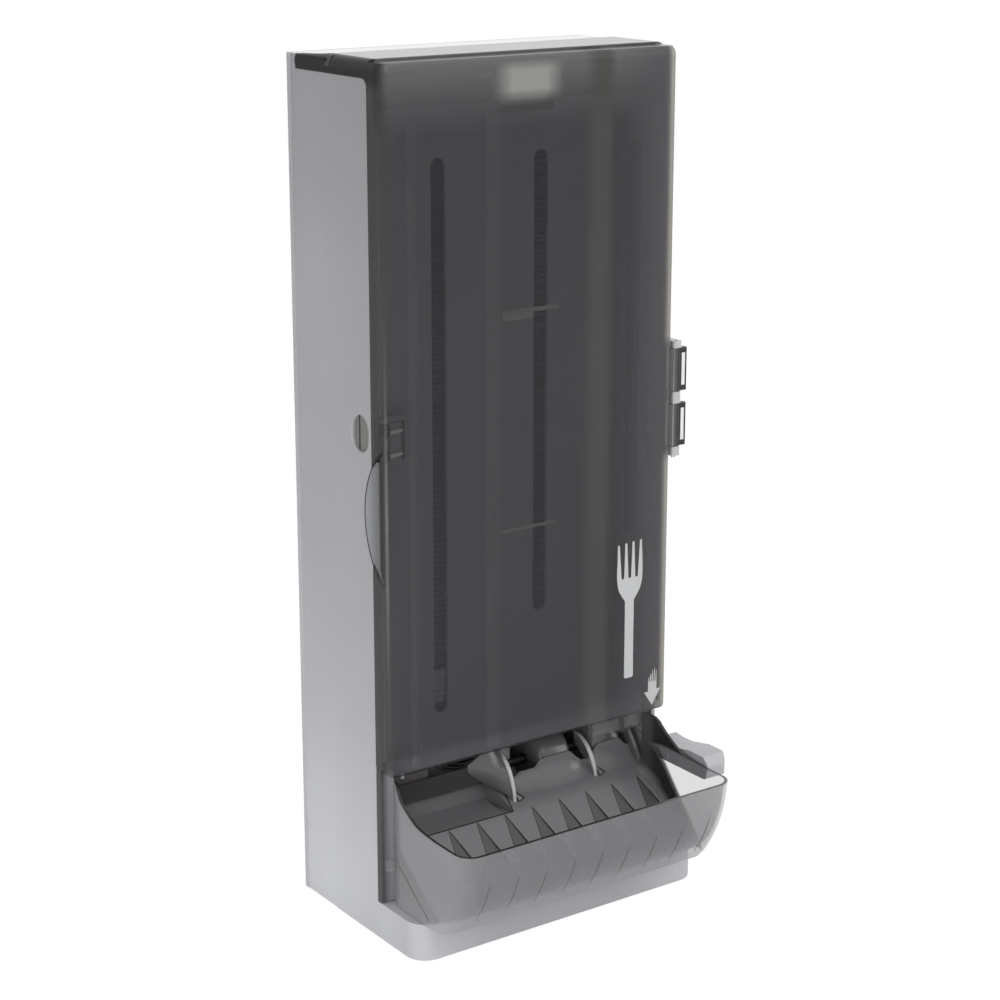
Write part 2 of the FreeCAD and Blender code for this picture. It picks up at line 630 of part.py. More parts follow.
def make_cover():
    cover = body("cover")
    wall_back = g.wall_depth + g.gap
    hood_back = g.tower_depth + g.gap
    drawing = sketch(cover, "YZ_Plane", -half)
    outline(drawing, [
        (-g.cover_front, g.cover_low),
        (-g.cover_front, g.height),
        (-hood_back, g.height),
        (-hood_back, g.band_low),
        (-wall_back, g.band_low, g.band_fillet),
        (-wall_back, g.cover_low),
    ])
    pad(cover, drawing, g.width)

    def outer_edge(edge):
        box = edge.BoundBox
        upright = along(edge, 2) and near(box.YMin, -g.cover_front)
        front = along(edge, 0) and near(box.YMin, -g.cover_front) and near(box.ZMax, g.height)
        side = along(edge, 1) and near(box.ZMax, g.height)
        return upright or front or side

    fillet(cover, g.cover_round, outer_edge)

    core = body("cover_core")
    side = half - g.cover_wall
    front = g.cover_front - g.cover_wall
    top = g.height - g.cover_wall
    drawing = sketch(core, "YZ_Plane", -side)
    rectangle(drawing, -front, g.cover_low - g.overrun, -hood_back + g.overrun, top)
    pad(core, drawing, side * 2)

    def inner_edge(edge):
        box = edge.BoundBox
        upright = along(edge, 2) and near(box.YMax, -front)
        across = along(edge, 0) and near(box.YMax, -front) and near(box.ZMax, top)
        back = along(edge, 1) and near(box.ZMax, top)
        return upright or across or back

    fillet(core, g.cover_round - g.cover_wall, inner_edge)
    shell = cut("cover_shell", cover, core)

    # side band that wraps the tower on the left
    band = body("cover_band")
    drawing = sketch(band, "YZ_Plane", -half)
    outline(drawing, [
        (-hood_back - g.cover_wall / 2, g.band_low),
        (-g.band_back, g.band_low, g.band_round),
        (-g.band_back, g.band_top, g.band_round),
        (-hood_back - g.cover_wall / 2, g.band_top),
    ])
    pad(band, drawing, g.cover_wall)

    # rounded lower corners and the finger grip
    corner = body("cover_corner")
    drawing = sketch(corner, "XZ_Plane", wall_back - g.overrun)
    depth = g.cover_front - wall_back + g.overrun * 2
    wide = half + g.overrun
    foot = g.cover_low - g.overrun
    outline(drawing, [(-wide, foot), (wide, foot), (wide, g.height), (-wide, g.height)])
    outline(drawing, [
        (-half, g.cover_low, g.cover_corner),
        (half, g.cover_low, g.cover_corner),
        (half, g.height - g.overrun),
        (-half, g.height - g.overrun),
    ])
    pad(corner, drawing, depth)
    grip_low = g.scoop_height - g.scoop_radius
    grip_high = g.scoop_height + g.scoop_radius
    grip_band = slab(
        "cover_grip_band", "YZ_Plane", -half - g.overrun, g.overrun + g.grip_deep,
        [
            (-g.grip_depth, grip_low),
            (-wall_back + g.overrun, grip_low),
            (-wall_back + g.overrun, grip_high),
            (-g.grip_depth, grip_high),
        ],
    )
    grip_disc = body("cover_grip_disc")
    drawing = sketch(grip_disc, "YZ_Plane", -half - g.overrun)
    circle(drawing, -g.scoop_depth, g.scoop_height, g.scoop_radius)
    pad(grip_disc, drawing, g.overrun + g.grip_deep)
    grip = common("cover_grip", [grip_band, grip_disc])
    trimmed = cut("cover_trim", shell, join("cover_tools", [corner, grip]))

    # two hinge loops
    loops = []
    for number in (0, 1):
        low = g.loop_low + g.loop_step * number
        loop = body("cover_loop_%d" % number)
        drawing = sketch(loop, "XZ_Plane", g.hinge_depth - g.loop_thick / 2)
        rectangle(drawing, half - g.cover_wall / 2, low, half + g.loop_out, low + g.loop_tall)
        rectangle(
            drawing, half + g.loop_bar, low + g.loop_edge,
            half + g.loop_out - g.loop_frame, low + g.loop_tall - g.loop_edge,
        )
        pad(loop, drawing, g.loop_thick)
        drawing = sketch(loop, "XY_Plane", low)
        circle(drawing, hinge_x, -g.hinge_depth, g.barrel_radius)
        pad(loop, drawing, g.loop_tall)
        drawing = sketch(loop, "XY_Plane", low - g.overrun)
        circle(drawing, hinge_x, -g.hinge_depth, g.pin_radius + g.running)
        pocket(loop, drawing, g.loop_tall + g.overrun * 2, back=True)
        loops.append(loop)
    keep(join("cover", [trimmed, band] + loops), "cover")


def make_hinge():
    bracket = body("hinge_bracket")
    drawing = sketch(bracket, "XY_Plane", g.bracket_low)
    rear = g.bracket_back
    outline(drawing, [
        (half + g.seat, -rear),
        (half + g.seat, -g.bracket_front),
        (half + g.bracket_wide, -g.bracket_front),
        (half + g.bracket_wide, -g.bracket_front + g.bracket_thick),
        (half + g.seat + g.bracket_thick, -g.bracket_front + g.bracket_thick),
        (half + g.seat + g.bracket_thick, -rear),
    ])
    pad(bracket, drawing, g.bracket_high - g.bracket_low)
    loop_top = g.loop_low + g.loop_tall
    levels = [
        (g.loop_low - g.gap - g.knuckle_end, g.knuckle_end),
        (loop_top + g.gap, g.loop_step - g.loop_tall - g.gap * 2),
        (loop_top + g.loop_step + g.gap, g.knuckle_end - g.gap - g.pin_radius),
    ]
    for low, tall in levels:
        drawing = sketch(bracket, "XY_Plane", low)
        outline(drawing, [
            (hinge_x - g.barrel_radius, -g.hinge_depth),
            (hinge_x - g.barrel_radius, -g.hinge_depth - g.barrel_radius, g.pin_radius),
            (hinge_x + g.barrel_radius, -g.hinge_depth - g.barrel_radius, g.pin_radius),
            (hinge_x + g.barrel_radius, -g.bracket_front + g.bracket_thick / 2),
            (hinge_x - g.barrel_radius, -g.bracket_front + g.bracket_thick / 2),
        ])
        pad(bracket, drawing, tall)
    drawing = sketch(bracket, "XY_Plane", g.bracket_low - g.bracket_wide * 2)
    circle(drawing, hinge_x, -g.hinge_depth, g.pin_radius + g.running)
    pocket(bracket, drawing, g.bracket_high - g.bracket_low + g.bracket_wide * 4, back=True)
    drawing = sketch(bracket, "YZ_Plane", half - g.overrun)
    for depth, level in bracket_places():
        circle(drawing, -depth, level, g.screw_radius + g.running)
    pocket(bracket, drawing, g.overrun * 2 + g.seat + g.bracket_thick, back=True)
    keep(bracket, "hinge_bracket")

    pin = body("hinge_pin")
    drawing = sketch(pin, "XY_Plane", g.pin_low)
    circle(drawing, hinge_x, -g.hinge_depth, g.pin_radius)
    pad(pin, drawing, g.pin_high - g.pin_low)
    keep(pin, "hinge_pin")


def make_latch():
    low = g.latch_mid - g.latch_half
    tall = g.latch_half * 2
    latch = body("latch_bar")
    drawing = sketch(latch, "XY_Plane", low)
    outline(drawing, [
        (-g.latch_in, -g.latch_back),
        (-g.latch_tail_out, -g.latch_back),
        (-g.latch_tail_out, -g.latch_link),
        (-g.latch_body_out, -g.latch_link),
        (-g.latch_body_out, -g.latch_lip_back),
        (-g.latch_lip_out, -g.latch_lip_back),
        (-g.latch_lip_out, -g.latch_lip_front),
        (-g.latch_in, -g.latch_lip_front),
    ])
    pad(latch, drawing, tall)
    drawing = sketch(latch, "YZ_Plane", -g.latch_tail_out)
    rectangle(
        drawing, -g.latch_back - g.latch_tail_round, g.latch_mid - g.latch_tail_half,
        -g.latch_tail_back, g.latch_mid + g.latch_tail_half, g.latch_tail_round,
    )
    pad(latch, drawing, g.latch_tail_thick)
    drawing = sketch(latch, "YZ_Plane", -g.latch_in - g.latch_bore_deep)
    circle(drawing, -g.latch_bore_depth, g.latch_mid, g.latch_bore)
    pocket(latch, drawing, g.latch_bore_deep + g.overrun, back=True)
    keep(latch, "latch_bar")

    guide = body("latch_guide")
    reach = g.latch_half + g.arm_gap + g.arm_sheet
    drawing = sketch(guide, "XZ_Plane", g.latch_back - g.gap)
    outline(drawing, [
        (-inner, g.latch_mid - reach),
        (-g.arm_end_in, g.latch_mid - reach),
        (-g.arm_end_in, g.latch_mid + reach),
        (-inner, g.latch_mid + reach),
        (-inner, g.latch_mid + reach - g.arm_sheet),
        (-g.arm_end_in - g.arm_end_thick, g.latch_mid + reach - g.arm_sheet),
        (-g.arm_end_in - g.arm_end_thick, g.latch_mid - reach + g.arm_sheet),
        (-inner, g.latch_mid - reach + g.arm_sheet),
    ])
    pad(guide, drawing, g.cover_front - g.cover_round - g.latch_back + g.gap)
    keep(guide, "latch_guide")

    striker = body("latch_striker")
    base = g.cover_front - g.cover_wall
    for side in (-1, 1):
        level = g.latch_mid + g.striker_step * side
        drawing = sketch(striker, "XY_Plane", level - g.striker_half)
        outline(drawing, [
            (-g.striker_out, -g.striker_back),
            (-g.striker_in, -g.striker_back),
            (-g.striker_in, -g.striker_back - g.striker_nose),
            (-g.striker_out + g.striker_thick, -g.striker_back - g.striker_nose),
            (-g.striker_out + g.striker_thick, -base + g.striker_thick),
            (-g.striker_out + g.striker_thick, -base),
            (-g.striker_out, -base),
        ])
        pad(striker, drawing, g.striker_half * 2)
    foot_low = g.latch_mid - g.striker_step - g.striker_half
    drawing = sketch(striker, "XY_Plane", foot_low)
    rectangle(
        drawing, -g.striker_out, -base, -g.striker_out + g.striker_thick, -base + g.striker_thick
    )
    pad(striker, drawing, (g.striker_step + g.striker_half) * 2)
    # the hooks' feet follow the rounded inside corner of the cover
    trim = body("striker_trim")
    drawing = sketch(trim, "XY_Plane", foot_low - g.overrun)
    side = half - g.cover_wall
    outline(drawing, [
        (-side, -g.hinge_depth + g.cover_front),
        (-side, -base, g.cover_round - g.cover_wall),
        (0, -base),
        (0, -g.hinge_depth + g.cover_front),
    ])
    pad(trim, drawing, (g.striker_step + g.striker_half + g.overrun) * 2)
    keep(common("latch_striker", [striker, trim]), "latch_striker")

    spring = body("latch_spring")
    drawing = sketch(spring, "YZ_Plane", -g.coil_end)
    circle(drawing, -g.latch_bore_depth, g.latch_mid, g.coil_outer)
    circle(drawing, -g.latch_bore_depth, g.latch_mid, g.coil_inner)
    pad(spring, drawing, g.coil_end - g.arm_end_in - g.arm_end_thick)
    keep(spring, "latch_spring")


def make_magazine():
    panel = body("magazine_front")
    latch_room = g.latch_tail_half + g.gap
    latch_reach = g.latch_tail_out - g.latch_tail_thick - g.latch_travel - g.gap
    drawing = sketch(panel, "XZ_Plane", g.panel_depth)
    outline(drawing, [
        (-g.panel_half, g.panel_low),
        (g.panel_half, g.panel_low),
        (g.panel_half, g.panel_top),
        (g.notch_right, g.panel_top),
        (g.notch_right, g.panel_top - g.notch_deep),
        (-g.notch_left, g.panel_top - g.notch_deep),
        (-g.notch_left, g.panel_top),
        (-g.panel_half, g.panel_top),
        (-g.panel_half, g.latch_mid + latch_room),
        (-latch_reach, g.latch_mid + latch_room),
        (-latch_reach, g.latch_mid - latch_room),
        (-g.panel_half, g.latch_mid - latch_room),
    ])
    radius = g.slot_wide / 2
    stadium(drawing, -g.slot_left, g.slot_left_low, g.slot_top, radius)
    stadium(drawing, g.slot_mid, g.slot_mid_low, g.slot_top, radius)
    stadium(drawing, g.slot_right, g.slot_right_low, g.slot_top, radius)
    pad(panel, drawing, g.panel_thick)
    keep(panel, "magazine_front")

    plate = body("magazine_back")
    drawing = sketch(plate, "XZ_Plane", g.magazine_back_depth - g.guide_thick)
    side = inner - g.seat
    rectangle(drawing, -side, g.magazine_foot, side, g.magazine_top)
    # window that the drums turn in
    rectangle(
        drawing, g.drum_left_start - g.overrun, g.shaft_height - g.drum_radius - g.overrun / 2,
        g.drum_right_end + g.overrun, g.shaft_height + g.drum_radius + g.overrun / 2,
    )
    for sign in (-1, 1):
        for level in (g.mount_low, g.mount_high):
            circle(drawing, g.mount_across / 2 * sign, level, g.access_radius)
        for level in (g.chassis_low, g.post_mid, g.chassis_high):
            circle(drawing, chassis_x * sign, level, g.screw_radius + g.running)
    pad(plate, drawing, g.guide_thick)
    keep(plate, "magazine_back")

    for name, start, low in (
        ("magazine_guide_left", -g.guide_left - g.guide_thick, g.rail_top + g.seat),
        ("magazine_guide_right", g.guide_right, g.rail_right_top + g.seat),
    ):
        piece = body(name)
        drawing = sketch(piece, "YZ_Plane", start)
        rectangle(drawing, -g.panel_depth + g.seat, low, -g.magazine_back_depth - g.seat, g.guide_top)
        pad(piece, drawing, g.guide_thick)
        keep(piece, name)


def fork_outline():
    """Top view of one fork lying along X, tines to the left."""
    mid = -g.fork_depth
    head = g.fork_head / 2
    tip = -g.fork_tip
    root = tip + g.fork_head_long
    neck = root + g.fork_shoulder
    points = [
        (tip, mid - head),
        (root, mid - head),
        (neck, mid - g.fork_neck / 2),
        (g.fork_end, mid - g.fork_tail / 2),
        (g.fork_end, mid + g.fork_tail / 2),
        (neck, mid + g.fork_neck / 2),
        (root, mid + head),
        (tip, mid + head),
    ]
    slits = []
    for step in (1, 0, -1):
        middle = mid + g.fork_slit_step * step
        slits += [
            (tip, middle + g.fork_slit / 2),
            (tip + g.fork_tine, middle + g.fork_slit / 2),
            (tip + g.fork_tine, middle - g.fork_slit / 2),
            (tip, middle - g.fork_slit / 2),
        ]
    return points + slits


def make_forks():
    tall = g.fork_pitch * fork_count - g.seat
    for number, name in enumerate(("fork_pack_lower", "fork_pack_middle", "fork_pack_upper")):
        low = g.stack_low + (g.fork_pitch * fork_count) * number
        pack = body(name)
        drawing = sketch(pack, "XY_Plane", low)
        rectangle(
            drawing, -g.fork_tip + g.fork_tine + g.core_inset, -g.fork_depth - g.core_wide / 2,
            g.fork_end - g.core_inset, -g.fork_depth + g.core_wide / 2,
        )
        pad(pack, drawing, tall)
        drawing = sketch(pack, "XY_Plane", low)
        outline(drawing, fork_outline())
        layer = pad(pack, drawing, g.fork_sheet)
        doc.recompute()
        pattern = pack.newObject("PartDesign::LinearPattern", "layers")
        pattern.Originals = [layer]
        pattern.Direction = (drawing, ["N_Axis"])
        bind(pattern, "Length", g.fork_pitch * (fork_count - 1))
        pattern.Occurrences = fork_count
        pack.Tip = pattern
        keep(pack, name)


def make_rails():
    left = body("fork_rail_left")
    drawing = sketch(left, "YZ_Plane", -g.rail_left_out)
    outline(drawing, [
        (-g.rail_depth, g.rail_low),
        (-g.rail_depth + g.rail_thick, g.rail_low),
        (-g.rail_depth + g.rail_thick, g.rail_top - g.rail_thick),
        (-g.magazine_back_depth - g.seat, g.rail_top - g.rail_thick),
        (-g.magazine_back_depth - g.seat, g.rail_top),
        (-g.rail_depth, g.rail_top),
    ])
    pad(left, drawing, g.rail_left_out - g.rail_left_in)
    keep(left, "fork_rail_left")

    right = body("fork_rail_right")
    drawing = sketch(right, "YZ_Plane", g.rail_right_in)
    outline(drawing, [
        (-g.rail_right_depth, g.rail_right_low),
        (-g.rail_right_depth + g.rail_thick, g.rail_right_low),
        (-g.rail_right_depth + g.rail_thick, g.rail_right_top - g.rail_thick),
        (-g.magazine_back_depth - g.seat, g.rail_right_top - g.rail_thick),
        (-g.magazine_back_depth - g.seat, g.rail_right_top),
        (-g.rail_right_depth, g.rail_right_top),
    ])
    pad(right, drawing, g.rail_right_out - g.rail_right_in)
    keep(right, "fork_rail_right")

    bar = body("throat_bar")
    drawing = sketch(bar, "YZ_Plane", g.bar_in)
    rectangle(
        drawing, -g.bar_depth - g.bar_thick, g.rail_right_low, -g.bar_depth, g.rail_right_top
    )
    pad(bar, drawing, g.rail_right_out - g.bar_in)
    keep(bar, "throat_bar")


def make_fins():
    """Curved guides whose front edges bulge forward from the throat down to the tray."""
    bulge_shares = [(0.20, 0.985), (0.55, 0.80), (0.82, 0.48), (0.97, 0.17)]
    for name, middle, tall, back, foot in (
        ("guide_fin_left", -g.fin_left, g.fin_left_tall, g.fin_left_back, g.fin_left_foot),
        ("guide_fin_right", g.fin_right, g.fin_right_tall, g.fin_right_back, g.fin_right_foot),
    ):
        low = ramp(foot)
        top = ramp(back) + tall
        points = [(-back, top)]
        for out_share, up_share in bulge_shares:
            points.append((-back - (foot - back) * out_share, low + (top - low) * up_share))
        points.append((-foot, low + g.seat))
        points.append((-g.tray_back, ramp(g.tray_back) + g.seat))
        points.append((-back, ramp(back) + g.seat))
        fin = slab(name, "YZ_Plane", middle - g.fin_thick / 2, g.fin_thick, points)
        keep(fin, name)


def make_tray():
    drop = g.tray_thick
    sheet_body = body("tray_sheet")
    drawing = sketch(sheet_body, "YZ_Plane", -g.tray_half)
    outline(drawing, [
        (-g.tray_front, ramp(g.tray_front)),
        (-g.tray_front, ramp(g.tray_front) - drop),
        (-g.tray_back, ramp(g.tray_back) - drop),
        (-g.tray_back, ramp(g.tray_back)),
    ])
    pad(sheet_body, drawing, g.tray_half * 2)
    wall = g.tray_thick
    outer = [
        (-g.tub_left - wall, -g.tray_front),
        (-g.tub_right_front + wall, -g.tray_front),
        (-g.tub_right_back + wall, -g.tub_back + wall),
        (-g.tub_left - wall, -g.tub_back + wall),
    ]
    hole = body("tray_hole")
    drawing = sketch(hole, "XY_Plane", g.cheek_low)
    outline(drawing, outer)
    pad(hole, drawing, g.cheek_top - g.cheek_low)
    opened = cut("tray_opened", sheet_body, hole)

    tub = body("tray_tub")
    drawing = sketch(tub, "XY_Plane", g.tub_floor - wall)
    outline(drawing, outer)
    pad(tub, drawing, g.cheek_top - g.tub_floor)
    drawing = sketch(tub, "YZ_Plane", -g.tray_half)
    outline(drawing, [
        (-g.tray_front - g.overrun, ramp(g.tray_front + g.overrun)),
        (-g.tub_back + wall + g.overrun, ramp(g.tub_back - wall - g.overrun)),
        (-g.tub_back + wall + g.overrun, g.cheek_top + g.tray_thick),
        (-g.tray_front - g.overrun, g.cheek_top + g.tray_thick),
    ])
    pocket(tub, drawing, g.tray_half * 2, back=True)
    drawing = sketch(tub, "XY_Plane", g.tub_floor)
    outline(drawing, [
        (-g.tub_left, -g.tray_front + wall / 4),
        (-g.tub_right_front, -g.tray_front + wall / 4),
        (-g.tub_right_back, -g.tub_back),
        (-g.tub_left, -g.tub_back),
    ])
    pocket(tub, drawing, g.cheek_top - g.tub_floor, back=True)
    drawing = sketch(tub, "YZ_Plane", -g.tub_left - wall / 2)
    outline(drawing, [
        (-g.tray_front, g.tub_floor - wall / 2),
        (-g.tub_back + wall / 2, g.tub_floor - wall / 2),
        (-g.tub_back + wall / 2, g.tub_floor_back),
        (-g.tray_front + wall / 4, g.tub_floor),
        (-g.tray_front, g.tub_floor),
    ])
    pad(tub, drawing, g.tub_left - g.tub_right_back + wall / 2)

    cheeks = []
    for number, start in enumerate((-g.tray_half - g.cheek_thick / 2, g.tray_half - g.cheek_thick / 2)):
        cheek = body("tray_cheek_%d" % number)
        drawing = sketch(cheek, "YZ_Plane", start)
        outline(drawing, [
            (-g.cheek_front, g.cheek_low + g.tray_thick),
            (-g.magazine_back_depth - g.seat, g.cheek_low + g.tray_thick),
            (-g.magazine_back_depth - g.seat, g.cheek_top - g.seat),
            (-g.rail_depth, g.cheek_top - g.seat, g.plinth_corner / 2),
            (-g.cheek_front, ramp(g.cheek_front) + g.cheek_nose),
        ])
        circle(drawing, -g.shaft_depth, g.shaft_height, g.bush_radius + g.running)
        pad(cheek, drawing, g.cheek_thick)
        cheeks.append(cheek)
    # ledge that ties the tray to the plate behind the magazine
    ledge = body("tray_ledge")
    drawing = sketch(ledge, "XY_Plane", g.cheek_low)
    rectangle(
        drawing, -g.tray_half, -g.tray_front + g.ledge_set, g.tray_half, -g.magazine_back_depth - g.seat
    )
    pad(ledge, drawing, g.tray_thick * 2)
    keep(join("drop_tray", [opened, tub, ledge] + cheeks), "drop_tray")


def round_bar(name, start, end, radius, bore=None):
    """A cylinder or sleeve along X on the shaft's axis."""
    piece = body(name)
    drawing = sketch(piece, "YZ_Plane", start)
    circle(drawing, -g.shaft_depth, g.shaft_height, radius)
    if bore is not None:
        circle(drawing, -g.shaft_depth, g.shaft_height, bore)
    pad(piece, drawing, as_size(end) - start)
    return piece


def make_drums():
    fit = g.shaft_radius + g.running
    right_end = g.arm_inside + g.arm_thick
    keep(round_bar("drum_shaft", -g.shaft_left, right_end, g.shaft_radius), "drum_shaft")
    for name, start, end in (
        ("drum_left", g.drum_left_start, g.drum_left_end),
        ("drum_right", g.drum_right_start, g.drum_right_end),
    ):
        drum = round_bar(name, start, end, g.drum_radius, fit)
        drawing = sketch(drum, "YZ_Plane", start - g.overrun)
        top = g.shaft_height + g.drum_radius
        outline(drawing, [
            (-g.shaft_depth, top - g.drum_step),
            (-g.shaft_depth + g.drum_step_long, top - g.drum_step),
            (-g.shaft_depth + g.drum_step_long, top + g.overrun),
            (-g.shaft_depth, top + g.overrun),
        ])
        pocket(drum, drawing, end - start + g.overrun * 2, back=True)
        keep(drum, name)

    cheek_out = g.tray_half + g.cheek_thick / 2
    cheek_in = g.tray_half - g.cheek_thick / 2
    for name, side in (("shaft_bush_left", -1), ("shaft_bush_right", 1)):
        piece = body(name)
        first = cheek_in - g.seat if side > 0 else -cheek_out - g.bush_flange_thick - g.seat
        drawing = sketch(piece, "YZ_Plane", first)
        circle(drawing, -g.shaft_depth, g.shaft_height, g.bush_radius)
        circle(drawing, -g.shaft_depth, g.shaft_height, fit)
        pad(piece, drawing, g.cheek_thick + g.bush_flange_thick + g.seat * 2)
        drawing = sketch(piece, "YZ_Plane", cheek_out + g.seat / 2 if side > 0 else first)
        circle(drawing, -g.shaft_depth, g.shaft_height, g.bush_flange)
        circle(drawing, -g.shaft_depth, g.shaft_height, fit)
        pad(piece, drawing, g.bush_flange_thick + g.seat / 2)
        keep(piece, name)

    rings = body("shaft_clips")
    ring_place = cheek_out + g.bush_flange_thick + g.seat * 2
    for start in (ring_place, -ring_place - g.clip_thick):
        drawing = sketch(rings, "YZ_Plane", start)
        circle(drawing, -g.shaft_depth, g.shaft_height, g.clip_radius)
        circle(drawing, -g.shaft_depth, g.shaft_height, fit)
        pad(rings, drawing, g.clip_thick)
    keep(rings, "shaft_clips")

    spring_end = cheek_in - g.seat * 2
    coil = round_bar("lever_return_spring", g.spring_start, spring_end, g.spring_outer, g.spring_inner)
    keep(coil, "lever_return_spring")


def make_lever():
    lever = body("lever")
    drawing = sketch(lever, "YZ_Plane", g.pad_inside)
    outline(drawing, [
        (-g.pad_back, g.pad_low),
        (-g.pad_back, g.pad_top),
        (-g.pad_dip_back, g.pad_dip),
        (-g.pad_dip_front, g.pad_dip),
        (-g.pad_crest_back, g.pad_crest),
        (-g.pad_crest_front, g.pad_crest),
        (-g.pad_front, g.pad_crest - g.pad_round, g.pad_round),
        (-g.pad_front + g.pad_round / 2, g.pad_low, g.pad_round / 2),
    ])
    pad(lever, drawing, g.pad_outside - g.pad_inside)

    drawing = sketch(lever, "XY_Plane", g.pad_low - g.overrun)
    corner = g.pad_nose
    outline(drawing, [
        (g.pad_outside - corner, -g.pad_front - g.overrun),
        (g.pad_outside + g.overrun, -g.pad_front - g.overrun),
        (g.pad_outside + g.overrun, -g.pad_front + corner),
        (g.pad_outside, -g.pad_front + corner),
        (g.pad_outside - corner * nose_share, -g.pad_front + corner * nose_share),
        (g.pad_outside - corner, -g.pad_front),
    ])
    pocket(lever, drawing, g.pad_crest - g.pad_low + g.overrun * 2, back=True)
    drawing = sketch(lever, "YZ_Plane", g.arm_inside)
    outline(drawing, [
        (-g.shaft_depth + g.hub_radius, g.shaft_height - g.hub_radius, g.hub_radius / 2),
        (-g.shaft_depth + g.hub_radius, g.shaft_height + g.hub_radius, g.hub_radius / 2),
        (-g.arm_front, g.pad_dip - g.overrun),
        (-g.arm_front, g.pad_low + g.overrun),
    ])
    pad(lever, drawing, g.arm_thick)
    drawing = sketch(lever, "YZ_Plane", g.hub_start)
    circle(drawing, -g.shaft_depth, g.shaft_height, g.hub_radius)
    pad(lever, drawing, g.arm_inside - g.hub_start + g.arm_thick)
    drawing = sketch(lever, "YZ_Plane", g.hub_start - g.overrun)
    circle(drawing, -g.shaft_depth, g.shaft_height, g.shaft_radius + g.running)
    pocket(lever, drawing, g.arm_inside - g.hub_start + g.arm_thick + g.overrun * 2, back=True)
    keep(lever, "lever")


def bin_plan(inset):
    """Top view of the bin, drawn in by inset, open side to the back."""
    side = g.bin_half - inset
    rear = g.bin_rear_half - inset
    bend = (g.bin_turn - g.bin_rear) / 2
    front = -g.bin_front + inset
    return [
        (-rear, -g.bin_rear),
        (-rear, -g.bin_rear - bend * bend_share, g.bin_corner / 2),
        (-side, -g.bin_turn, g.bin_corner),
        (-side, front, g.bin_corner - inset),
        (side, front, g.bin_corner - inset),
        (side, -g.bin_turn, g.bin_corner),
        (rear, -g.bin_rear - bend * bend_share, g.bin_corner / 2),
        (rear, -g.bin_rear),
    ]


# Front face and rim of the bin as shares: first across the named depth span, then up the named height.
FRONT_SHARES = [(0.31, 0.17), (0.60, 0.395), (0.86, 0.69), (0.965, 0.97)]
RIM_SHARES = [(0.0, 0.0), (0.30, 0.0), (0.49, 0.058), (0.61, 0.142), (0.70, 0.312), (0.80, 0.583)]
RIM_REAR_SHARES = [(0.855, 0.833), (0.893, 0.958), (0.951, 1.0)]


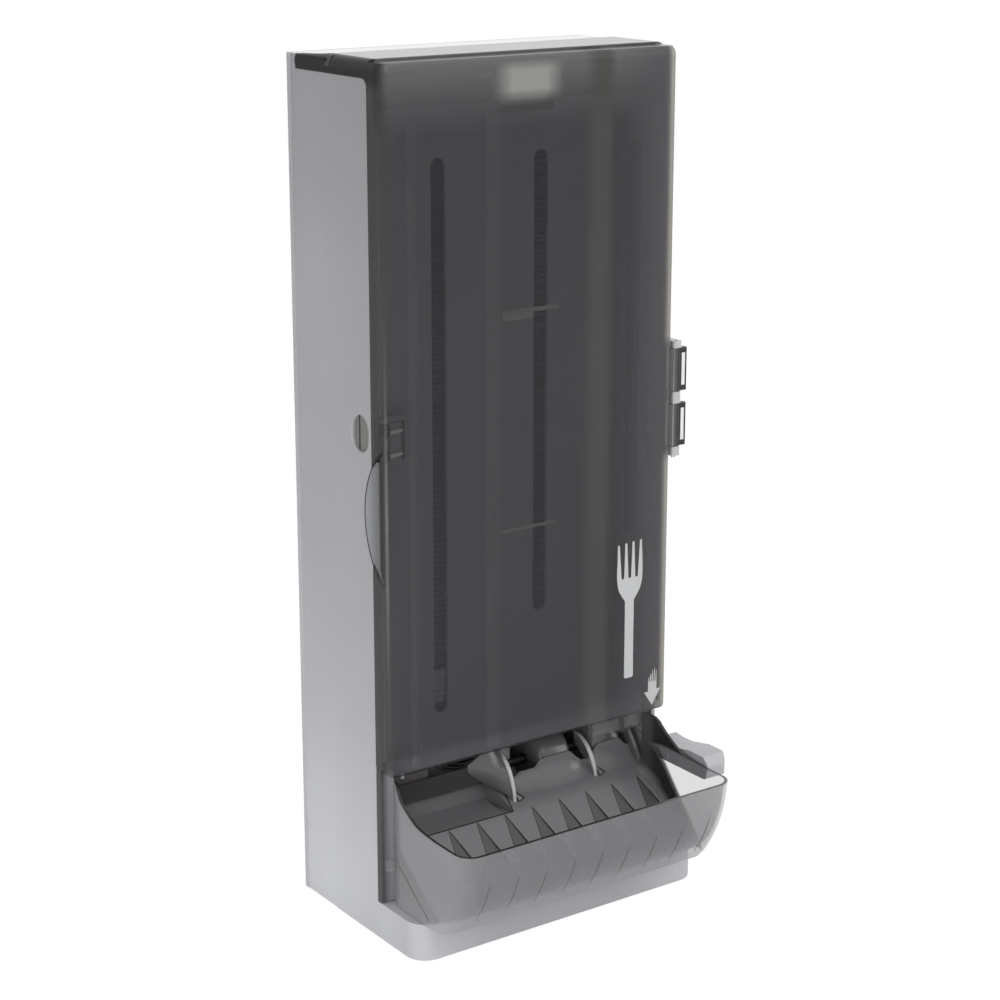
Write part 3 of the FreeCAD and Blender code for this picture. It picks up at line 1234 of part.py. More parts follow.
def make_bin():
    foot = g.plinth_top + g.seat
    span = g.bin_front - g.bin_toe
    rise = g.bin_rim_front - foot
    side_outline = [(-g.bin_rear, foot), (-g.bin_toe, foot)]
    for out_share, up_share in FRONT_SHARES:
        side_outline.append((-g.bin_toe - span * out_share, foot + rise * up_share))
    rim_span = g.bin_front - g.bin_rear
    rim_rise = g.bin_rim_rear - g.bin_rim_front
    for back_share, up_share in RIM_SHARES + RIM_REAR_SHARES:
        side_outline.append((-g.bin_front + rim_span * back_share, g.bin_rim_front + rim_rise * up_share))
    side_outline.append((-g.bin_rear, g.bin_rim_rear))
    side_reach = g.bin_half + g.overrun
    side_body = slab("bin_side", "YZ_Plane", -side_reach, side_reach * 2, side_outline)
    plan_tall = g.bin_rim_rear - foot + g.overrun * 2
    plan_body = slab("bin_plan", "XY_Plane", foot - g.overrun, plan_tall, bin_plan(0))
    outer = common("bin_outer", [side_body, plan_body])

    # space above the floor
    wall = g.bin_wall
    back = g.bin_rear - g.overrun
    upper = [
        (-back, ramp(g.rib_start)),
        (-g.rib_start, ramp(g.rib_start)),
    ]
    floor_end = g.bin_skirt_front
    upper.append((-floor_end, ramp(floor_end)))
    for out_share, up_share in FRONT_SHARES[:-1]:
        face = -g.bin_toe - span * out_share
        level = foot + rise * up_share
        upper.append((face + wall * face_wall_share, level + wall * face_drop_share))
    upper.append((-g.bin_front + wall * rim_wall_share, g.bin_rim_front))
    upper.append((-g.bin_front + wall * rim_wall_share, g.bin_rim_rear + g.overrun))
    upper.append((-back, g.bin_rim_rear + g.overrun))
    upper_side = slab("bin_upper_side", "YZ_Plane", -g.bin_half, g.bin_half * 2, upper)
    plan = bin_plan(wall)
    plan[0] = (plan[0][0], -back)
    plan[-1] = (plan[-1][0], -back)
    upper_plan = slab("bin_upper_plan", "XY_Plane", foot - g.overrun, g.bin_rim_rear, plan)
    space = common("bin_space", [upper_side, upper_plan])

    # space below the floor, inside the skirt
    under = [
        (-back, foot - g.overrun),
        (-back, ramp(g.rib_start) - g.bin_floor_thick),
        (-g.rib_start, ramp(g.rib_start) - g.bin_floor_thick),
        (-floor_end + g.bin_floor_thick * 2, ramp(floor_end - g.bin_floor_thick * 2) - g.bin_floor_thick),
        (-floor_end + g.bin_floor_thick * 2, foot - g.overrun),
    ]
    under_side = slab("bin_under_side", "YZ_Plane", -g.bin_half, g.bin_half * 2, under)
    under_plan = slab("bin_under_plan", "XY_Plane", foot - g.overrun * 2, g.bin_rim_rear, plan)
    hollow = common("bin_hollow", [under_side, under_plan])

    # tapering grooves in the floor
    ribs = body("bin_grooves")
    drawing = sketch(ribs, "XY_Plane", foot - g.overrun)
    for number in range(groove_count):
        middle = -g.groove_first + g.groove_pitch * number
        outline(drawing, [
            (middle, -g.groove_back),
            (middle - g.groove_wide / 2, -g.groove_front),
            (middle + g.groove_wide / 2, -g.groove_front),
        ])
    pad(ribs, drawing, g.bin_rim_rear - foot)
    floor_cut = slab("bin_groove_side", "YZ_Plane", -g.bin_half, g.bin_half * 2, [
        (-g.groove_back, ramp(g.groove_back) - g.groove_deep),
        (-g.groove_front, ramp(g.groove_front) - g.groove_deep),
        (-g.groove_front, ramp(g.groove_front) + g.overrun),
        (-g.groove_back, ramp(g.groove_back) + g.overrun),
    ])
    grooves = common("bin_groove_cut", [ribs, floor_cut])
    # the floor itself ends at the tray
    rear_trim = box_body(
        "bin_rear_trim", -g.tray_half - g.gap, g.tray_half + g.gap,
        -g.rib_start, -back + g.overrun, foot - g.overrun * 2, ramp(g.rib_start) + g.overrun,
    )
    tools = join("bin_tools", [space, hollow, grooves, rear_trim])
    keep(cut("bin", outer, tools), "bin")

    tabs = body("bin_clips")
    drawing = sketch(tabs, "XY_Plane", g.clip_low)
    rectangle(drawing, -inner, -g.clip_front, -g.clip_in, -g.clip_back)
    pad(tabs, drawing, g.clip_high - g.clip_low)
    drawing = sketch(tabs, "XY_Plane", g.clip_low)
    rear = g.wall_depth - g.shell_wall
    outline(drawing, [
        (inner, -rear),
        (inner, -g.clip_front),
        (g.clip_in, -g.clip_front),
        (g.clip_in, -g.clip_back),
        (inner - g.shell_wall, -g.clip_back),
        (inner - g.shell_wall, -rear),
    ])
    pad(tabs, drawing, g.clip_high - g.clip_low)
    keep(tabs, "bin_clips")


def screws(name, plane, at, places, length, back=False):
    """A group of like screws: heads on one plane, shanks running away from it."""
    group = body(name)
    drawing = sketch(group, plane, at)
    for u, v in places:
        circle(drawing, u, v, g.screw_head)
    pad(group, drawing, g.screw_head_thick, back=not back)
    drawing = sketch(group, plane, at)
    for u, v in places:
        circle(drawing, u, v, g.screw_radius)
    pad(group, drawing, length, back=back)
    keep(group, name)


def make_screws():
    places = [
        (back_screw_x * side, level)
        for side in (-1, 1)
        for level in (g.post_low, g.post_mid, g.post_high)
    ]
    screws("back_plate_screws", "XZ_Plane", g.screw_head_thick + g.gap, places, g.screw_long)
    places = [
        (chassis_x * side, level)
        for side in (-1, 1)
        for level in (g.chassis_low, g.post_mid, g.chassis_high)
    ]
    seat_place = g.magazine_back_depth + g.seat / 2
    screws("chassis_screws", "XZ_Plane", seat_place, places, g.screw_short, back=True)
    places = [(-depth, level) for depth, level in bracket_places()]
    screws(
        "bracket_screws", "YZ_Plane", half + g.seat + g.bracket_thick + g.seat / 2, places,
        g.screw_short, back=True,
    )
    places = [(x, -depth) for x, depth in base_places()]
    group = body("base_screws")
    drawing = sketch(group, "XY_Plane", g.gap)
    for u, v in places:
        circle(drawing, u, v, g.screw_radius)
    pad(group, drawing, g.screw_long * 2)
    keep(group, "base_screws")


def main():
    make_housing()
    make_back_plate()
    make_base_plate()
    make_cover()
    make_hinge()
    make_latch()
    make_magazine()
    make_forks()
    make_rails()
    make_fins()
    make_tray()
    make_drums()
    make_lever()
    make_bin()
    make_screws()
    doc.recompute()
    for item in doc.Objects:
        if "Invalid" in item.State or "Error" in item.State:
            raise RuntimeError("%s is %s" % (item.Label, item.State))
    for name, item in PIECES:
        if item.Shape.isNull() or not item.Shape.isValid() or item.Shape.Volume <= 0:
            raise RuntimeError(name + " has no valid shape")
    os.makedirs("parts", exist_ok=True)
    for name, item in PIECES:
        item.Shape.exportStep("parts/%s.step" % name)
        print(name, len(item.Shape.Solids), round(item.Shape.Volume / 1000, 2))


main()
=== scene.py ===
import math

import bmesh
import bpy
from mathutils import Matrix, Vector


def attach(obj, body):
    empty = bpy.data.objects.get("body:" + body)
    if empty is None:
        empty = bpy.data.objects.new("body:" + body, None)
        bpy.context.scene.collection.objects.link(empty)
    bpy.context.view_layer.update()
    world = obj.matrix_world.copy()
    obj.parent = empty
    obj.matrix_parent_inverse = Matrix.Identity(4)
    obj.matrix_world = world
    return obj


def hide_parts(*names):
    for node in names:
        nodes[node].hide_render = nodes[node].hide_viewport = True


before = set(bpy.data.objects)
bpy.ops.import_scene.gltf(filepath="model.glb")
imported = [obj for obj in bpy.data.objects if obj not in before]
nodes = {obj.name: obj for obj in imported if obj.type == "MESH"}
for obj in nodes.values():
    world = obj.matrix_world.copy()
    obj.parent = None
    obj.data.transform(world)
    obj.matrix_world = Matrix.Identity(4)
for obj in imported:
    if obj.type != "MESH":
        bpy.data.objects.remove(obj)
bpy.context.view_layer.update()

# Places are written in millimetres measured from the back face: x right, y back, z up.
# A depth is measured forward from the back face, so y is minus the depth.
MM = 0.001
BACK = 78.5


def P(x, y, z):
    """The point of the shared frame, in metres, for a place given in millimetres."""
    return Vector((x * MM, (y + BACK) * MM, z * MM))


# Camera
SENSOR = 36
PICTURE_PIXELS = 1000
FOCAL_PIXELS = 2293.21
TILT = 14.80
HEADING = 35.19
cam_data = bpy.data.cameras.new("camera")
cam = bpy.data.objects.new("camera", cam_data)
bpy.context.scene.collection.objects.link(cam)
cam.location = P(-928.41, -1392.41, 764.92)
cam.rotation_euler = (math.radians(90 - TILT), 0, math.radians(-HEADING))
cam_data.sensor_width = SENSOR
cam_data.lens = FOCAL_PIXELS / PICTURE_PIXELS * SENSOR
cam_data.shift_y = -0.05
cam_data.clip_start = 0.05
cam_data.clip_end = 50
bpy.context.scene.camera = cam


# Materials
def new_material(name):
    """A material that is still bare, with its node tree and its shader."""
    mat = bpy.data.materials.new(name)
    mat.use_nodes = True
    tree = mat.node_tree
    shader = tree.nodes["Principled BSDF"]
    return mat, tree, shader


def parts_of(mat):
    """A material's node tree, its shader and the socket that feeds its base colour."""
    tree = mat.node_tree
    shader = tree.nodes["Principled BSDF"]
    return tree, shader, shader.inputs["Base Color"].links[0].from_socket


def grain(tree, shader, scale, depth):
    """Fine moulded grain as a bump in object coordinates."""
    coord = tree.nodes.new("ShaderNodeTexCoord")
    noise = tree.nodes.new("ShaderNodeTexNoise")
    noise.inputs["Scale"].default_value = scale
    noise.inputs["Detail"].default_value = 3
    noise.inputs["Roughness"].default_value = 0.6
    tree.links.new(coord.outputs["Object"], noise.inputs["Vector"])
    bump = tree.nodes.new("ShaderNodeBump")
    bump.inputs["Strength"].default_value = 0.5
    bump.inputs["Distance"].default_value = depth
    tree.links.new(noise.outputs["Fac"], bump.inputs["Height"])
    tree.links.new(bump.outputs["Normal"], shader.inputs["Normal"])
    return coord, noise


def mottle(tree, coord, scale, low, high):
    """Slow variation between two close colours."""
    noise = tree.nodes.new("ShaderNodeTexNoise")
    noise.inputs["Scale"].default_value = scale
    noise.inputs["Detail"].default_value = 4
    tree.links.new(coord.outputs["Object"], noise.inputs["Vector"])
    ramp = tree.nodes.new("ShaderNodeValToRGB")
    ramp.color_ramp.elements[0].position = 0.3
    ramp.color_ramp.elements[0].color = (*low, 1)
    ramp.color_ramp.elements[1].position = 0.7
    ramp.color_ramp.elements[1].color = (*high, 1)
    tree.links.new(noise.outputs["Fac"], ramp.inputs["Fac"])
    return ramp


def shade(color, factor):
    """The same colour, lighter or darker by a factor."""
    return tuple(min(1.0, c * factor) for c in color)


def span(tree, source, low, high, start=0.0, end=1.0):
    """Map a stretch of values onto another one, held at its ends."""
    node = tree.nodes.new("ShaderNodeMapRange")
    node.inputs["From Min"].default_value = low
    node.inputs["From Max"].default_value = high
    node.inputs["To Min"].default_value = start
    node.inputs["To Max"].default_value = end
    tree.links.new(source, node.inputs["Value"])
    return node.outputs["Result"]


def plastic(name, color, rough=0.45, vary=0.03, depth=0.00004, alpha=1.0):
    """Moulded plastic: a slightly mottled colour under a fine grain, whose depth is in metres."""
    mat, tree, shader = new_material(name)
    coord, noise = grain(tree, shader, 1800, depth)
    ramp = mottle(tree, coord, 14, shade(color, 1 - vary), shade(color, 1 + vary))
    tree.links.new(ramp.outputs["Color"], shader.inputs["Base Color"])
    uneven = span(tree, noise.outputs["Fac"], 0.3, 0.7, max(0.02, rough - 0.04), rough + 0.04)
    tree.links.new(uneven, shader.inputs["Roughness"])
    shader.inputs["Alpha"].default_value = alpha
    shader.inputs["IOR"].default_value = 1.46
    return mat


def steel(name, color=(0.62, 0.62, 0.63), rough=0.28):
    """Drawn or stamped steel, brighter and darker in small patches."""
    mat, tree, shader = new_material(name)
    coord, noise = grain(tree, shader, 900, 0.00002)
    ramp = mottle(tree, coord, 60, shade(color, 0.92), shade(color, 1.05))
    tree.links.new(ramp.outputs["Color"], shader.inputs["Base Color"])
    shader.inputs["Metallic"].default_value = 1.0
    shader.inputs["Roughness"].default_value = rough
    return mat


def combine(tree, operation, first, second):
    """One number worked out from two sockets."""
    node = tree.nodes.new("ShaderNodeMath")
    node.operation = operation
    tree.links.new(first, node.inputs[0])
    tree.links.new(second, node.inputs[1])
    return node.outputs[0]


def place_of(tree):
    """Separated object coordinates, in metres."""
    coord = tree.nodes.new("ShaderNodeTexCoord")
    parts = tree.nodes.new("ShaderNodeSeparateXYZ")
    tree.links.new(coord.outputs["Object"], parts.inputs[0])
    return parts.outputs


def grazing(tree, low, high, start, end):
    """More reflection, and a longer way through the wall, at a flat angle."""
    weight = tree.nodes.new("ShaderNodeLayerWeight")
    weight.inputs["Blend"].default_value = 0.5
    return span(tree, weight.outputs["Facing"], low, high, start, end)


def smoke_wall(name, color, rough, front, flat):
    """Smoked plastic that gets denser at a flat angle."""
    mat = plastic(name, color, rough=rough, depth=0.00002)
    tree = mat.node_tree
    shader = tree.nodes["Principled BSDF"]
    tree.links.new(grazing(tree, 0.2, 0.85, front, flat), shader.inputs["Alpha"])
    return mat


def blended(tree, share, first, second):
    """Mix of two colours, or of a colour socket and a colour, by a share."""
    mix = tree.nodes.new("ShaderNodeMix")
    mix.data_type = "RGBA"
    tree.links.new(share, mix.inputs["Factor"])
    for socket, color in ((mix.inputs[6], first), (mix.inputs[7], second)):
        if isinstance(color, tuple):
            socket.default_value = (*color, 1)
        else:
            tree.links.new(color, socket)
    return mix.outputs[2]


def bell(tree, source, start, rise, fall, end):
    """A soft-edged stretch: nothing at start and end, all between rise and fall."""
    return combine(tree, "MULTIPLY", span(tree, source, start, rise), span(tree, source, fall, end, 1.0, 0.0))


def layered(name, stops, **options):
    """Plastic whose colour changes with height: stops are pairs of height in metres and grey colour."""
    pale = 0.95
    mat = plastic(name, (pale, pale, pale), **options)
    tree, shader, base = parts_of(mat)
    highest = stops[-1][0]
    ramp = tree.nodes.new("ShaderNodeValToRGB")
    marks = ramp.color_ramp.elements
    marks[0].position = stops[0][0] / highest
    marks[0].color = (*shade(stops[0][1], 1 / pale), 1)
    marks[-1].color = (*shade(stops[-1][1], 1 / pale), 1)
    for height, color in stops[1:-1]:
        marks.new(height / highest).color = (*shade(color, 1 / pale), 1)
    tree.links.new(span(tree, place_of(tree)["Z"], 0.0, highest), ramp.inputs["Fac"])
    both = tree.nodes.new("ShaderNodeMix")
    both.data_type = "RGBA"
    both.blend_type = "MULTIPLY"
    both.inputs["Factor"].default_value = 1.0
    tree.links.new(base, both.inputs[6])
    tree.links.new(ramp.outputs["Color"], both.inputs[7])
    tree.links.new(both.outputs[2], shader.inputs["Base Color"])
    return mat


def repaint(mat, axis, low, high, share, color):
    """Blend a colour into a material's base along one axis."""
    tree, shader, base = parts_of(mat)
    amount = span(tree, place_of(tree)[axis], low, high, 0.0, share)
    tree.links.new(blended(tree, amount, base, color), shader.inputs["Base Color"])
    return mat


def greys(*pairs):
    """Stops of a neutral grey with a trace of blue."""
    return [(height, (value * 0.99, value, value * 1.04)) for height, value in pairs]


def housing_wall(name):
    """Housing grey with painted light and shade: paler towards the foot and on its top, a little darker
    beside the cover.
    """
    # painted light: the grey pales towards the foot
    stops = greys((0.02, 0.78), (0.05, 0.76), (0.168, 0.59), (0.28, 0.525), (0.495, 0.50),
                  (0.59, 0.44), (0.63, 0.42))
    mat = layered(name, stops, rough=0.42)
    repaint(mat, "Y", 0.040, -0.0215, 0.16, (0.20, 0.20, 0.21))
    tree, shader, base = parts_of(mat)
    spot = place_of(tree)
    middle = bell(tree, spot["X"], -0.125, -0.060, 0.050, 0.115)
    # painted shade in the middle of the plinth front, paler towards its ends
    plinth_painted_shade = blended(tree, middle, (0.62, 0.625, 0.65), (0.465, 0.47, 0.49))
    base = blended(tree, span(tree, spot["Y"], -0.035, -0.060), base, plinth_painted_shade)
    tree.links.new(base, shader.inputs["Base Color"])
    # painted light: the top face white
    return repaint(mat, "Z", 0.6259, 0.6263, 1.0, (0.93, 0.93, 0.94))


def at_least(tree, dense, share, value):
    """Raise a density to a value where the share is one."""
    return combine(tree, "MAXIMUM", dense, span(tree, share, 0.0, 1.0, 0.0, value))


def cover_wall(name, color):
    """The cover's smoked plastic with painted light: paler and denser at the top and at the sides; dense in
    the hinge loops.
    """
    mat = smoke_wall(name, color, 0.24, 0.40, 0.86)
    tree, shader, base = parts_of(mat)
    dense = shader.inputs["Alpha"].links[0].from_socket
    spot = place_of(tree)
    # painted light: paler towards the top
    top = span(tree, spot["Z"], 0.575, 0.618)
    base = blended(tree, top, base, (0.165, 0.163, 0.170))
    # painted light: paler towards the right side
    side = span(tree, spot["X"], 0.066, 0.108)
    base = blended(tree, side, base, (0.108, 0.106, 0.114))
    # painted light: a greenish band
    painted_green_band = bell(tree, spot["X"], 0.042, 0.053, 0.064, 0.071)
    base = blended(tree, painted_green_band, base, (0.092, 0.093, 0.086))
    # painted light on the top face
    base = blended(tree, span(tree, spot["Z"], 0.6276, 0.6285), base, (0.35, 0.345, 0.358))
    band = span(tree, spot["X"], -0.1245, -0.1205, 1.0, 0.0)
    base = blended(tree, band, base, (0.070, 0.074, 0.070))
    # painted light: a bright patch near the top
    glow = combine(tree, "MULTIPLY", bell(tree, spot["X"], -0.034, -0.020, 0.010, 0.024),
                   bell(tree, spot["Z"], 0.595, 0.604, 0.617, 0.624))
    base = blended(tree, glow, base, (0.42, 0.42, 0.395))
    # painted light: a pale strip along the right edge, away from the hinge loops
    away = combine(tree, "MAXIMUM", span(tree, spot["Z"], 0.408, 0.418), span(tree, spot["Z"], 0.330, 0.320))
    strip = combine(tree, "MULTIPLY", bell(tree, spot["X"], 0.1165, 0.1205, 0.1268, 0.1272), away)
    base = blended(tree, strip, base, (0.36, 0.34, 0.31))
    brow = combine(tree, "MULTIPLY", span(tree, spot["X"], -0.1180, -0.1200),
                   span(tree, spot["Z"], 0.606, 0.616))
    brow = combine(tree, "MULTIPLY", brow, span(tree, spot["Y"], -0.0385, -0.0350))
    base = blended(tree, brow, base, (0.050, 0.048, 0.051))
    tree.links.new(span(tree, brow, 0.0, 1.0, 0.5, 0.06), shader.inputs["Specular IOR Level"])
    # the areas of painted light are denser
    painted_light_density = combine(tree, "MAXIMUM", span(tree, combine(tree, "MAXIMUM", top, glow), 0.0, 1.0, 0.0, 0.30),
                    span(tree, side, 0.0, 1.0, 0.0, 0.22))
    dense = combine(tree, "ADD", dense, painted_light_density)
    dense = at_least(tree, dense, brow, 0.95)
    dense = at_least(tree, dense, strip, 0.70)
    loops = span(tree, spot["X"], 0.1272, 0.1276)
    dense = at_least(tree, dense, loops, 0.93)
    tree.links.new(dense, shader.inputs["Alpha"])
    base = blended(tree, loops, base, (0.030, 0.029, 0.030))
    # painted light: pale panes in the windows of the hinge loops
    painted_window_light = bell(tree, spot["X"], 0.1272, 0.1276, 0.1318, 0.1330)
    base = blended(tree, painted_window_light, base, (0.135, 0.128, 0.120))
    tree.links.new(base, shader.inputs["Base Color"])
    return mat


def dished(name, near, far):
    """Moulded grey with painted shade that darkens from the edge of the scoop towards the cover."""
    mat = plastic(name, near, rough=0.35)
    tree = mat.node_tree
    shader = tree.nodes["Principled BSDF"]
    depth = span(tree, place_of(tree)["Y"], -0.030, -0.0145, 1.0, 0.0)
    tree.links.new(blended(tree, depth, near, far), shader.inputs["Base Color"])
    return mat


def bin_wall(name, color, dark):
    """Smoked wall with painted light and shade: paler at the ends and the foot; the right wall is thin and
    clear low in front, and dark with painted shade above and at the rear.
    """
    mat = plastic(name, color, rough=0.28, depth=0.000003)
    # painted light: paler towards the left and right ends and towards the foot
    pale = (0.50, 0.505, 0.52)
    repaint(mat, "X", -0.104, -0.120, 0.55, pale)
    repaint(mat, "X", 0.075, 0.112, 0.35, pale)
    repaint(mat, "Z", 0.062, 0.030, 0.45, (0.48, 0.485, 0.50))
    tree, shader, base = parts_of(mat)
    spot = place_of(tree)
    # painted shade: on the right wall, dense and dark above, in the lever's shadow, and at the rear
    on_side = span(tree, spot["X"], 0.1075, 0.1165)
    above = span(tree, spot["Z"], 0.0950, 0.0985)
    aslant = combine(tree, "SUBTRACT", spot["Y"], span(tree, spot["Z"], 0.0, 1.0, 0.0, 0.86))
    rear = span(tree, aslant, -0.1194, -0.1154)
    shaded = combine(tree, "MAXIMUM", above, rear)
    wall = span(tree, shaded, 0.0, 1.0, 0.17, 0.93)
    blend = tree.nodes.new("ShaderNodeMix")
    blend.data_type = "FLOAT"
    tree.links.new(on_side, blend.inputs["Factor"])
    tree.links.new(grazing(tree, 0.2, 0.9, 0.49, 0.86), blend.inputs["A"])
    tree.links.new(wall, blend.inputs["B"])
    tree.links.new(blend.outputs["Result"], shader.inputs["Alpha"])
    base = blended(tree, combine(tree, "MULTIPLY", on_side, shaded), base, dark)
    tree.links.new(base, shader.inputs["Base Color"])
    return mat


# Depth of the grain on polished parts, in metres
POLISHED = 0.00001
SMOKE = (0.235, 0.237, 0.247)
mats = {
    "housing": housing_wall("housing_grey"),
    # back plate: painted light, paler towards the foot and white on its top face
    "back": layered("back_white", greys((0.0, 0.66), (0.3, 0.60), (0.60, 0.52), (0.624, 0.55), (0.63, 0.93)),
                    rough=0.45),
    "base": plastic("base_dark", (0.10, 0.10, 0.105), rough=0.6),
    "cover": cover_wall("smoke_cover", (0.046, 0.0445, 0.052)),
    "striker": smoke_wall("smoke_striker", (0.045, 0.044, 0.047), 0.4, 0.8, 0.95),
    "light": plastic("light_grey", (0.60, 0.60, 0.61), rough=0.4),
    "print": plastic("print_white", (0.62, 0.63, 0.64), rough=0.5, vary=0.02),
    "steel": steel("bright_steel"),
    "dark_steel": steel("dark_steel", (0.05, 0.05, 0.052), 0.5),
    "latch": plastic("latch_grey", (0.30, 0.30, 0.31), rough=0.4),
    "prong": plastic("latch_dark", (0.012, 0.012, 0.012), rough=0.4),
    "tip": plastic("latch_tip", (0.95, 0.95, 0.94), rough=0.35),
    "lock": plastic("lock_face", (0.225, 0.235, 0.215), rough=0.5),
    "inner": plastic("smoke_inner", (0.33, 0.325, 0.345), rough=0.35, alpha=0.92),
    # painted light: the panel's ridges are lighter than the panel
    "ridge": plastic("smoke_ridge", (0.38, 0.38, 0.39), rough=0.5),
    "chassis": plastic("chassis_grey", (0.62, 0.62, 0.63), rough=0.5),
    # painted light: the black forks are paler in the lower part of the stack
    "fork": layered("fork_black",
                    greys((0.0, 0.012), (0.11, 0.012), (0.20, 0.24), (0.42, 0.06), (0.63, 0.012)),
                    rough=0.25, vary=0.15),
    # painted light: a pale block that stands for a bright patch above the stack
    "weight": plastic("pale_lit_patch", (0.90, 0.90, 0.84), rough=0.5),
    "clear": plastic("clear_part", (0.50, 0.51, 0.52), rough=0.08, alpha=0.26, depth=POLISHED),
    # painted highlight on the fins' front edges
    "edge": plastic("clear_edge_highlight", (0.80, 0.81, 0.82), rough=0.15, alpha=0.92, depth=POLISHED),
    "haze": plastic("pale_haze", (0.62, 0.62, 0.60), rough=0.4, alpha=0.45),
    "brown": plastic("clear_brown", (0.20, 0.18, 0.17), rough=0.12, alpha=0.55, depth=POLISHED),
    "tray": plastic("tray_grey", shade(SMOKE, 0.88), rough=0.2),
    "tray_dark": plastic("tray_dark", (0.035, 0.035, 0.037), rough=0.25),
    # painted highlights where the fork packs meet
    "joint": plastic("pale_joint_highlight", (0.90, 0.89, 0.85), rough=0.6, alpha=0.5),
    "drum": plastic("drum_grey", (0.15, 0.152, 0.158), rough=0.18),
    "bush": plastic("bush_white", (0.30, 0.30, 0.29), rough=0.4),
    # painted shade: the lever is a little darker towards its top
    "lever": layered("lever_grey", greys((0.07, 0.62), (0.094, 0.61), (0.0972, 0.59), (0.105, 0.58)),
                     rough=0.38),
    "bin": bin_wall("smoke_bin", (0.275, 0.278, 0.29), (0.018, 0.018, 0.020)),
    "floor": plastic("smoke_floor", SMOKE, rough=0.24, alpha=0.95, depth=POLISHED),
    "groove": plastic("smoke_groove", (0.105, 0.106, 0.112), rough=0.3, alpha=0.97, depth=POLISHED),
    "dark_edge": plastic("smoke_edge", (0.022, 0.022, 0.024), rough=0.2, alpha=0.9, depth=POLISHED),
    # painted shade: the flange darkens towards its outer side
    "flange": repaint(plastic("smoke_flange", (0.34, 0.342, 0.355), rough=0.3, alpha=0.85, depth=POLISHED),
                      "X", -0.1195, -0.1255, 0.85, (0.04, 0.04, 0.043)),
    "screen": plastic("smoke_screen", (0.06, 0.059, 0.058), rough=0.2, alpha=0.88, depth=POLISHED),
    "crease": plastic("bin_crease", (0.085, 0.086, 0.090), rough=0.3, alpha=0.85, depth=POLISHED),
    "scoop": dished("scoop_grey", (0.40, 0.41, 0.43), (0.17, 0.175, 0.185)),
}

LOOKS = {
    "housing": "housing_shell", "back": "back_plate", "base": "base_plate", "cover": "cover",
    "striker": "latch_striker", "light": "hinge_bracket", "latch": "latch_bar latch_guide",
    "inner": "magazine_front", "chassis": "magazine_back magazine_guide_left magazine_guide_right",
    "fork": "fork_pack_lower fork_pack_middle fork_pack_upper", "brown": "fork_rail_left fork_rail_right",
    "clear": "throat_bar guide_fin_left guide_fin_right bin_clips", "tray": "drop_tray",
    "dark_steel": "drum_shaft", "drum": "drum_left drum_right", "bush": "shaft_bush_left shaft_bush_right",
    "lever": "lever", "bin": "bin",
    "steel": "hinge_pin latch_spring shaft_clips lever_return_spring back_plate_screws chassis_screws"
             " bracket_screws base_screws",
}
for look, names in LOOKS.items():
    for name in names.split():
        obj = nodes[name]
        if obj.material_slots:
            for slot in obj.material_slots:
                slot.material = mats[look]
        else:
            obj.data.materials.append(mats[look])


# Mesh tools
def make_piece(name, verts, faces, looks, body, smooth=True, replaces=(), which=None, sharp=35):
    """A mesh piece from points in millimetres that rides on a body."""
    if isinstance(looks, str):
        looks = (looks,)
    mesh = bpy.data.meshes.new(name)
    mesh.from_pydata([P(*v) for v in verts], [], faces)
    if which:
        for polygon, number in zip(mesh.polygons, which):
            polygon.material_index = number
    for look in looks:
        mesh.materials.append(mats[look])
    bm = bmesh.new()
    bm.from_mesh(mesh)
    bmesh.ops.remove_doubles(bm, verts=bm.verts, dist=0.000001)
    bmesh.ops.recalc_face_normals(bm, faces=bm.faces)
    limit = math.radians(sharp)
    for edge in bm.edges:
        edge.smooth = smooth and len(edge.link_faces) == 2 and edge.calc_face_angle(0) < limit
    for face in bm.faces:
        face.smooth = smooth
    bm.to_mesh(mesh)
    bm.free()
    obj = bpy.data.objects.new(name, mesh)
    bpy.context.scene.collection.objects.link(obj)
    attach(obj, body)
    if replaces:
        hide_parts(*replaces)
    return obj


def rounded(points, steps=6):
    """A smooth curve through the points, as a denser list."""
    out = []
    count = len(points)
    for k in range(count - 1):
        a = points[max(k - 1, 0)]
        b = points[k]
        c = points[k + 1]
        d = points[min(k + 2, count - 1)]
        for n in range(steps):
            t = n / steps
            out.append(tuple(
                0.5 * (2 * b[i] + (c[i] - a[i]) * t + (2 * a[i] - 5 * b[i] + 4 * c[i] - d[i]) * t * t
                       + (3 * b[i] - a[i] - 3 * c[i] + d[i]) * t * t * t)
                for i in range(len(b))
            ))
    out.append(tuple(points[-1]))
    return out


def lookup(table, at):
    """Value at a place in a table of rising (place, value) pairs."""
    if at <= table[0][0]:
        return table[0][1]
    for k in range(len(table) - 1):
        a, b = table[k], table[k + 1]
        if at <= b[0]:
            return a[1] + (b[1] - a[1]) * (at - a[0]) / max(b[0] - a[0], 1e-9)
    return table[-1][1]


def skin(faces, first, rows, columns, loop=False):
    """Quads over a grid of points that starts at first, row after row."""
    wide = columns if loop else columns - 1
    for r in range(rows - 1):
        for c in range(wide):
            d = (c + 1) % columns
            faces.append((
                first + r * columns + c, first + r * columns + d,
                first + (r + 1) * columns + d, first + (r + 1) * columns + c,
            ))


def tube(verts, faces, rings, capped=False):
    """A skin round a row of rings of equally many points, closed at both ends if capped."""
    first = len(verts)
    around = len(rings[0])
    for ring in rings:
        verts += ring
    skin(faces, first, len(rings), around, loop=True)
    if capped:
        last = len(verts) - around
        faces.append(tuple(first + k for k in range(around)))
        faces.append(tuple(last + k for k in reversed(range(around))))


def extruded(verts, faces, shape, axis, start, end):
    """A closed prism: a flat outline carried along x, y or z."""
    rings = []
    for at in (start, end):
        rings.append([{"x": (at, u, v), "y": (u, at, v), "z": (u, v, at)}[axis] for u, v in shape])
    tube(verts, faces, rings, capped=True)


